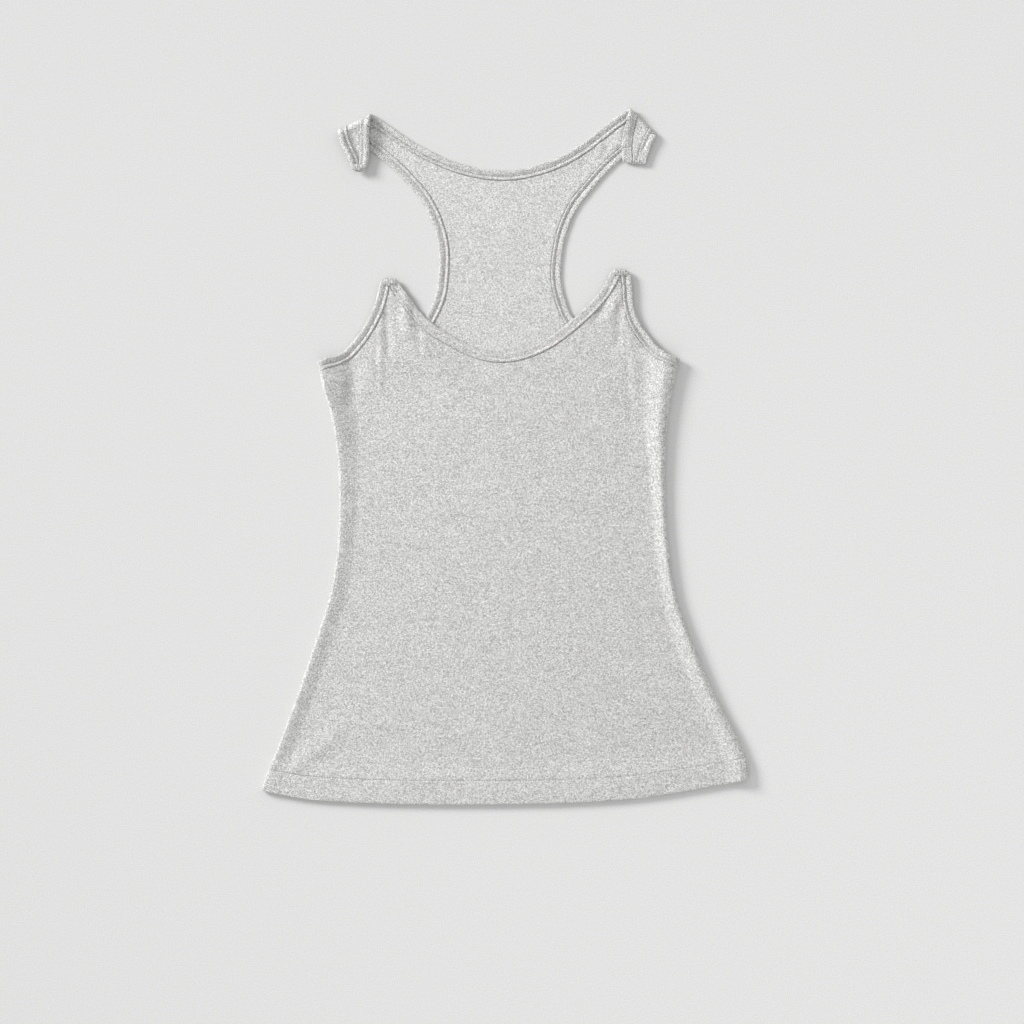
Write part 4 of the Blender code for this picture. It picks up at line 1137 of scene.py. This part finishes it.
def add_sockets(tree, way, sockets):
    """A group's named inputs or outputs, each with a kind and maybe a starting value."""
    for label, kind, *start in sockets:
        socket = tree.interface.new_socket(label, in_out=way, socket_type=f"NodeSocket{kind}")
        if start:
            socket.default_value = start[0]


def stitch_tree(name):
    """Stitches that follow the lines of a mesh, square to its 'up' direction."""
    tree = bpy.data.node_groups.new(name, "GeometryNodeTree")
    add_sockets(tree, "INPUT", (
        ("Geometry", "Geometry"), ("Pitch", "Float", 0.0027), ("Length", "Float", 0.0019),
        ("Thread", "Float", 0.0002), ("Crown", "Float", 0.0003), ("Seed", "Int", 3),
        ("Thread finish", "Material"),
    ))
    add_sockets(tree, "OUTPUT", (("Geometry", "Geometry"),))

    def node(kind, inputs=(), **settings):
        return link_node(tree, kind, inputs, **settings).outputs

    given = node("NodeGroupInput")
    line = node("GeometryNodeMeshToCurve", {"Mesh": given["Geometry"]})
    spaced = node(
        "GeometryNodeResampleCurve", {"Curve": line[0], "Length": given["Pitch"]}, mode="LENGTH"
    )
    up = node("GeometryNodeInputNamedAttribute", {"Name": "up"}, data_type="FLOAT_VECTOR")
    lengthways = node(
        "FunctionNodeAlignRotationToVector",
        {"Vector": node("GeometryNodeInputTangent")[0]}, axis="X",
    )
    upright = node(
        "FunctionNodeAlignRotationToVector",
        {"Rotation": lengthways[0], "Vector": up[0]}, axis="Z", pivot_axis="X",
    )
    back, half = (
        node("ShaderNodeMath", {0: given["Length"], 1: share}, operation="MULTIPLY")[0]
        for share in (-0.5, 0.5)
    )
    arch = node("GeometryNodeCurveQuadraticBezier", {
        "Resolution": 5,
        "Start": node("ShaderNodeCombineXYZ", {"X": back})[0],
        "Middle": node("ShaderNodeCombineXYZ", {"Z": given["Crown"]})[0],
        "End": node("ShaderNodeCombineXYZ", {"X": half})[0],
    })
    yarn = node("GeometryNodeCurvePrimitiveCircle", {"Resolution": 6, "Radius": given["Thread"]})
    tube = node(
        "GeometryNodeCurveToMesh",
        {"Curve": arch[0], "Profile Curve": yarn[0], "Fill Caps": True},
    )
    uneven = node(
        "FunctionNodeRandomValue",
        {0: UNEVEN[0], 1: UNEVEN[1], "Seed": given["Seed"]}, data_type="FLOAT_VECTOR",
    )
    placed = node("GeometryNodeInstanceOnPoints", {
        "Points": spaced[0], "Instance": tube[0], "Rotation": upright[0], "Scale": uneven[0],
    })
    real = node("GeometryNodeRealizeInstances", {0: placed[0]})
    smooth = node("GeometryNodeSetShadeSmooth", {"Geometry": real[0]})
    finish = node(
        "GeometryNodeSetMaterial", {"Geometry": smooth[0], "Material": given["Thread finish"]}
    )
    node("NodeGroupOutput", {0: finish[0]})
    return tree


def sew_line(name, lines, tree, material, **sizes):
    """Stitches along lines of (points, up) in millimetres, made a plain mesh."""
    mesh = bpy.data.meshes.new(name + "_line")
    shift = np.array([0.0, -LENGTH / 2, 0.0])
    points = (np.vstack([spots for spots, _ in lines]) + shift) * METRES
    edges, start = [], 0
    for spots, _ in lines:
        edges += [(start + k, start + k + 1) for k in range(len(spots) - 1)]
        start += len(spots)
    mesh.from_pydata(points.tolist(), edges, [])
    up = mesh.attributes.new("up", "FLOAT_VECTOR", "POINT")
    up.data.foreach_set("vector", np.vstack([ups for _, ups in lines]).astype(np.float32).ravel())
    guide = put(name + "_line", mesh)
    modifier = guide.modifiers.new("stitches", "NODES")
    modifier.node_group = tree
    given = sizes | {"Thread finish": material}
    for item in tree.interface.items_tree:
        if item.in_out == "INPUT" and item.name in given:
            modifier[item.identifier] = given[item.name]
    graph = bpy.context.evaluated_depsgraph_get()
    made = bpy.data.meshes.new_from_object(guide.evaluated_get(graph))
    made.name = name
    bpy.data.objects.remove(guide)
    return put(name, made)


def groove_line(edge, face, rise, start, end):
    """The line of a binding's stitches on its outer or inner face."""
    path, off = edge.square_off(np.arange(start, edge.length - end, 1.0))
    spot = path + off * GROOVE_OUT
    up = facing(edge.place, spot) * face
    return edge.place(spot) + up * rise, up


def hem_line(on_front, rise, start):
    """The line of the hem's stitches from seam to seam, on the side of the cloth that faces out."""
    place = front_point if on_front else back_point
    width = np.arange(start - PANEL_WIDTH, PANEL_WIDTH - HEM_ENDS, 1.0)
    chart = np.stack([width, np.full(len(width), HEM_STITCH)], axis=1)
    points = from_even(chart, on_front)
    up = facing(place, points) * (1.0 if on_front else -1.0)
    return place(points) + up * rise, up


# ---- finishes ------------------------------------------------------------------------------------


def math_of(tree, operation, first, second):
    """The sum or the product of two values."""
    return link_node(tree, "ShaderNodeMath", {0: first, 1: second}, operation=operation).outputs[0]


def mix_of(tree, factor, first, second, **settings):
    """A shade between two others."""
    inputs = {"Factor": factor, "A": first, "B": second}
    mixed = link_node(tree, "ShaderNodeMix", inputs, data_type="RGBA", **settings)
    return mixed.outputs["Result"]


def melange_group():
    """Melange jersey: uneven grey yarns in rows of loops. Gives a shade and a relief."""
    tree = bpy.data.node_groups.new("melange_jersey", "ShaderNodeTree")
    add_sockets(
        tree, "INPUT", (("Flat cloth", "Vector"), ("Dark yarn", "Color"), ("Light yarn", "Color"))
    )
    add_sockets(tree, "OUTPUT", (("Shade", "Color"), ("Relief", "Float")))
    given = tree.nodes.new("NodeGroupInput").outputs

    def stretched(across, up):
        inputs = {0: given["Flat cloth"], 1: (across, up, 1.0)}
        scaled = link_node(tree, "ShaderNodeVectorMath", inputs, operation="MULTIPLY")
        return {"Vector": scaled.outputs[0], "Scale": 1.0}

    def yarns(size):
        inputs = {**stretched(*size), "Randomness": 1.0}
        cell = link_node(tree, "ShaderNodeTexVoronoi", inputs, voronoi_dimensions="2D")
        return link_node(tree, "ShaderNodeSeparateColor", {0: cell.outputs["Color"]}).outputs[0]

    def cloud(size):
        inputs = {**stretched(*size), "Detail": 2.0}
        return link_node(tree, "ShaderNodeTexNoise", inputs, noise_dimensions="2D").outputs[0]

    def weighed(values, shares):
        total = None
        for value, share in zip(values, shares):
            piece = math_of(tree, "MULTIPLY", value, share)
            total = math_of(tree, "ADD", total, piece) if total else piece
        return total

    loops, streaks, drift, fine = yarns(LOOPS), yarns(STREAKS), cloud(DRIFT), cloud(FIBRE)
    shade = weighed((loops, streaks, drift, fine), MIX)
    shade = math_of(tree, "ADD", shade, MIX_SHIFT)
    link_node(tree, "NodeGroupOutput", {
        "Shade": mix_of(tree, shade, given["Dark yarn"], given["Light yarn"]),
        "Relief": weighed((loops, fine), (0.5, 0.5)),
    })


def matt(name, finish):
    """A material with these constants on its shader."""
    material = bpy.data.materials.new(name)
    material.use_nodes = True
    shader = material.node_tree.nodes["Principled BSDF"]
    for socket, value in finish.items():
        shader.inputs[socket].default_value = value
    return material, material.node_tree, shader


def jersey(name, dark, light):
    """Matt melange jersey that follows the cut of its piece."""
    material, tree, shader = matt(name, JERSEY_FINISH)
    flat = link_node(tree, "ShaderNodeUVMap", uv_map="cut").outputs[0]
    knit = link_node(
        tree, "ShaderNodeGroup", node_tree=bpy.data.node_groups["melange_jersey"]
    )
    tree.links.new(flat, knit.inputs["Flat cloth"])
    knit.inputs["Dark yarn"].default_value = (*dark, 1.0)
    knit.inputs["Light yarn"].default_value = (*light, 1.0)
    tree.links.new(knit.outputs["Shade"], shader.inputs["Base Color"])
    relief = {"Height": knit.outputs["Relief"], "Strength": 1.0, "Distance": KNIT_RELIEF}
    bump = link_node(tree, "ShaderNodeBump", relief)
    tree.links.new(bump.outputs[0], shader.inputs["Normal"])
    return material


def plain(name, roughness, dark, light, grain, grade=None):
    """An even matt finish with a fine grain between two shades, which may be graded."""
    finish = {"Roughness": roughness, "Specular IOR Level": PLAIN_GLOSS}
    material, tree, shader = matt(name, finish)
    place = tree.nodes.new("ShaderNodeTexCoord").outputs["Object"]
    cloud = link_node(
        tree, "ShaderNodeTexNoise", {"Vector": place, "Scale": grain, "Detail": 1.0}
    ).outputs[0]
    shade = mix_of(tree, cloud, (*dark, 1.0), (*light, 1.0))
    if grade:
        shade = mix_of(tree, 1.0, shade, grade(tree, place), blend_type="MULTIPLY")
    tree.links.new(shade, shader.inputs["Base Color"])
    return material


# ---- studio --------------------------------------------------------------------------------------


def lamp_grade(tree, place):
    """Shade that evens out the lamp's fall-off over the paper."""
    toward = (math.cos(KEY_FROM), math.sin(KEY_FROM), 0.0)
    middle = (VIEW_X, VIEW_Y, 0.0)
    off = link_node(tree, "ShaderNodeVectorMath", {0: place, 1: middle}, operation="SUBTRACT")
    nearer = link_node(
        tree, "ShaderNodeVectorMath", {0: off.outputs[0], 1: toward}, operation="DOT_PRODUCT"
    ).outputs["Value"]
    share = link_node(
        tree, "ShaderNodeMapRange",
        {"Value": nearer, "From Min": -FLOOR_REACH, "From Max": FLOOR_REACH},
    ).outputs[0]
    graded = link_node(tree, "ShaderNodeValToRGB", {"Fac": share})
    stops = graded.color_ramp.elements
    key = KEY_POWER / (math.pi * KEY_DISTANCE) ** 2 * math.sin(KEY_HEIGHT)
    spots = [order / (FLOOR_STOPS - 1) for order in range(FLOOR_STOPS)]
    lights = []
    for spot in spots:
        along_floor = KEY_DISTANCE * math.cos(KEY_HEIGHT) - (2.0 * spot - 1.0) * FLOOR_REACH
        away = math.hypot(along_floor, KEY_DISTANCE * math.sin(KEY_HEIGHT))
        lights.append(FILL_STRENGTH + key * (KEY_DISTANCE / away) ** 3)
    for spot, light in zip(spots, lights):
        stop = stops[0] if spot == 0.0 else stops[-1] if spot == 1.0 else stops.new(spot)
        stop.position = spot
        stop.color = (*[min(lights) / light] * 3, 1.0)
    return graded.outputs["Color"]


def set_studio():
    mesh = bpy.data.meshes.new("studio_floor")
    ways = ((-1, -1), (1, -1), (1, 1), (-1, 1))
    mesh.from_pydata([(x * FLOOR_HALF, y * FLOOR_HALF, 0.0) for x, y in ways], [], [(0, 1, 2, 3)])
    mesh.materials.append(plain("pale_paper", *PAPER_FINISH, lamp_grade))
    put("studio_floor", mesh)

    world = bpy.data.worlds.new("studio")
    world.use_nodes = True
    bpy.context.scene.world = world
    sky = world.node_tree.nodes["Background"].inputs
    sky["Color"].default_value = (1.0, 1.0, 1.0, 1.0)
    sky["Strength"].default_value = FILL_STRENGTH

    lamp = bpy.data.lights.new("key_light", "AREA")
    lamp.shape = "DISK"
    lamp.size = KEY_SIZE
    lamp.energy = KEY_POWER
    key = put("key_light", lamp)
    level = math.cos(KEY_HEIGHT)
    toward = Vector(
        (math.cos(KEY_FROM) * level, math.sin(KEY_FROM) * level, math.sin(KEY_HEIGHT))
    )
    key.rotation_euler = toward.to_track_quat("Z", "Y").to_euler()
    key.location = toward * KEY_DISTANCE + Vector((VIEW_X, VIEW_Y, 0.0))

    lens = bpy.data.cameras.new("camera")
    lens.lens = LENS
    lens.sensor_width = SENSOR
    lens.clip_end = VIEW_END
    camera = put("camera", lens)
    camera.location = (VIEW_X, VIEW_Y, VIEW_SIZE * LENS / SENSOR)
    bpy.context.scene.camera = camera
    bpy.context.scene.view_settings.view_transform = "Standard"


# ---- the garment ---------------------------------------------------------------------------------


# name, node that it stands for, edge, section, its two ends, seed, bare ends of its stitches
BINDINGS = (
    ("front_neck_band", "front_neck_binding", FRONT_NECK_EDGE, FRONT_NECK_SECTION,
     (FRONT_TIP_END, FRONT_TIP_END), 1, (4.0, 4.0)),
    ("back_neck_band", "back_neck_binding", BACK_NECK_EDGE, BAND_SECTION,
     (LEFT_FLAP_END, RIGHT_FLAP_END), 2, (5.0, 5.0)),
    ("armhole_band_left", "armhole_binding_left", ARMHOLES[0], BAND_SECTION,
     (FRONT_TIP_END, LEFT_FLAP_END), 3, (4.0, 5.0)),
    ("armhole_band_right", "armhole_binding_right", ARMHOLES[1], BAND_SECTION,
     (FRONT_TIP_END, RIGHT_FLAP_END), 4, (4.0, 5.0)),
)
# name, armhole and neck edge with how far from their start or back from their end, radius
ROLLS = (
    ("front_tip_left", ARMHOLES[0], 5.0, FRONT_NECK_EDGE, 5.0, 3.3),
    ("front_tip_right", ARMHOLES[1], 5.0, FRONT_NECK_EDGE, -5.0, 3.3),
    ("strap_end_left", ARMHOLES[0], -5.0, BACK_NECK_EDGE, 5.0, 3.2),
    ("strap_end_right", ARMHOLES[1], -2.0, BACK_NECK_EDGE, -2.0, 2.0),
)


def attach(piece, slot, *nodes):
    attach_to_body(piece, "root")
    if nodes:
        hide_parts(*nodes)


def sew_stitches(tree, finishes, sewn):
    """Rows of stitches and, between them, dark discs of painted shade for the needle holes, on the
    hems and on both faces of each binding.
    """
    thread, hole_shading = finishes
    for kind, material, sizes, shift, hem_rise, band_rise in (
        ("stitches", thread, THREAD_SIZES, 0.0, HEM_THREAD_RISE, BAND_THREAD_RISE),
        ("needle_hole_shade", hole_shading, HOLE_SHADE_SIZES, STITCH_PITCH / 2, HEM_HOLE_SHADE_RISE, BAND_HOLE_SHADE_RISE),
    ):
        for on_front, panel in ((True, "front"), (False, "back")):
            line = hem_line(on_front, hem_rise, HEM_ENDS + shift)
            made = sew_line(f"{panel}_hem_{kind}", [line], tree, material, **sizes)
            attach(made, "heather_jersey")
            sewn[on_front].append(made)
        for name, _, edge, _, _, _, (start, end) in BINDINGS:
            lines = [groove_line(edge, face, band_rise, start + shift, end) for face in (1.0, -1.0)]
            made = sew_line(f"{name}_{kind}", lines, tree, material, **sizes)
            attach(made, "heather_binding")
            sewn[edge is FRONT_NECK_EDGE].append(made)


def main():
    set_studio()
    melange_group()
    cloth = jersey("melange_cloth", CLOTH_DARK, CLOTH_LIGHT)
    # darker copy of the jersey for the bindings: painted shade
    band_cloth = jersey("melange_binding", BAND_DARK, BAND_LIGHT)
    # lighter copy of the jersey for the back: painted light
    single = jersey("melange_cloth_single", SINGLE_DARK, SINGLE_LIGHT)
    thread = plain("grey_thread", *THREAD_FINISH)
    # dark finish that paints the shade inside the needle holes
    hole_shading = plain("painted_hole_shade", *HOLE_SHADE_FINISH)

    front = cut_panel("front_cloth", True, CLOTH_PITCH, UNDER_STEP)
    back = cut_panel("back_cloth", False, BACK_PITCH, 1)
    for panel, material, node in ((front, cloth, "front_panel"), (back, single, "back_panel")):
        panel.data.materials.append(material)
        attach(panel, "heather_jersey", node)
    sewn = {True: [], False: []}
    for name, node, edge, section, ends, seed, _ in BINDINGS:
        band = bind_edge(name, edge, section, ends, seed)
        band.data.materials.append(band_cloth)
        attach(band, "heather_binding", node)
        sewn[edge is FRONT_NECK_EDGE].append(band)
    tree = stitch_tree("stitch_row")
    sew_stitches(tree, (thread, hole_shading), sewn)
    for name, arm, arm_run, neck, neck_run, radius in ROLLS:
        ends = arm.spot(arm_run), neck.spot(neck_run)
        roll, wound = seam_roll(f"{name}_roll", *ends, radius, len(name))
        roll.data.materials.append(band_cloth)
        made = sew_line(f"{name}_thread", [wound], tree, thread, **OVERCAST_SIZES)
        for piece in (roll, made):
            attach(piece, "heather_binding")
            sewn[neck is FRONT_NECK_EDGE].append(piece)

    for piece, under in ((front, "back_cloth"), (back, "studio_floor")):
        flat, area = cut_size(piece is front)


def cut_size(on_front):
    """The cut's width and length with its hem turning, and its area, in metres."""
    columns, rows = columns_of(BACK_PITCH, 0.0 if on_front else ROLL_OVER), rows_of(BACK_PITCH)
    outline, _ = panel_outline(on_front, columns, rows)
    x, y = outline[:, 0], outline[:, 1]
    area = abs((x * np.roll(y, -1) - y * np.roll(x, -1)).sum()) / 2
    width = x.max() - x.min()
    return (
        (width * METRES, (y.max() - y.min() + HEM_DEPTH) * METRES),
        (area + width * HEM_DEPTH) * METRES**2,
    )


main()
for piece in list(bpy.data.objects):
    if piece.name in ("Cube", "Light", "Camera"):
        bpy.data.objects.remove(piece)
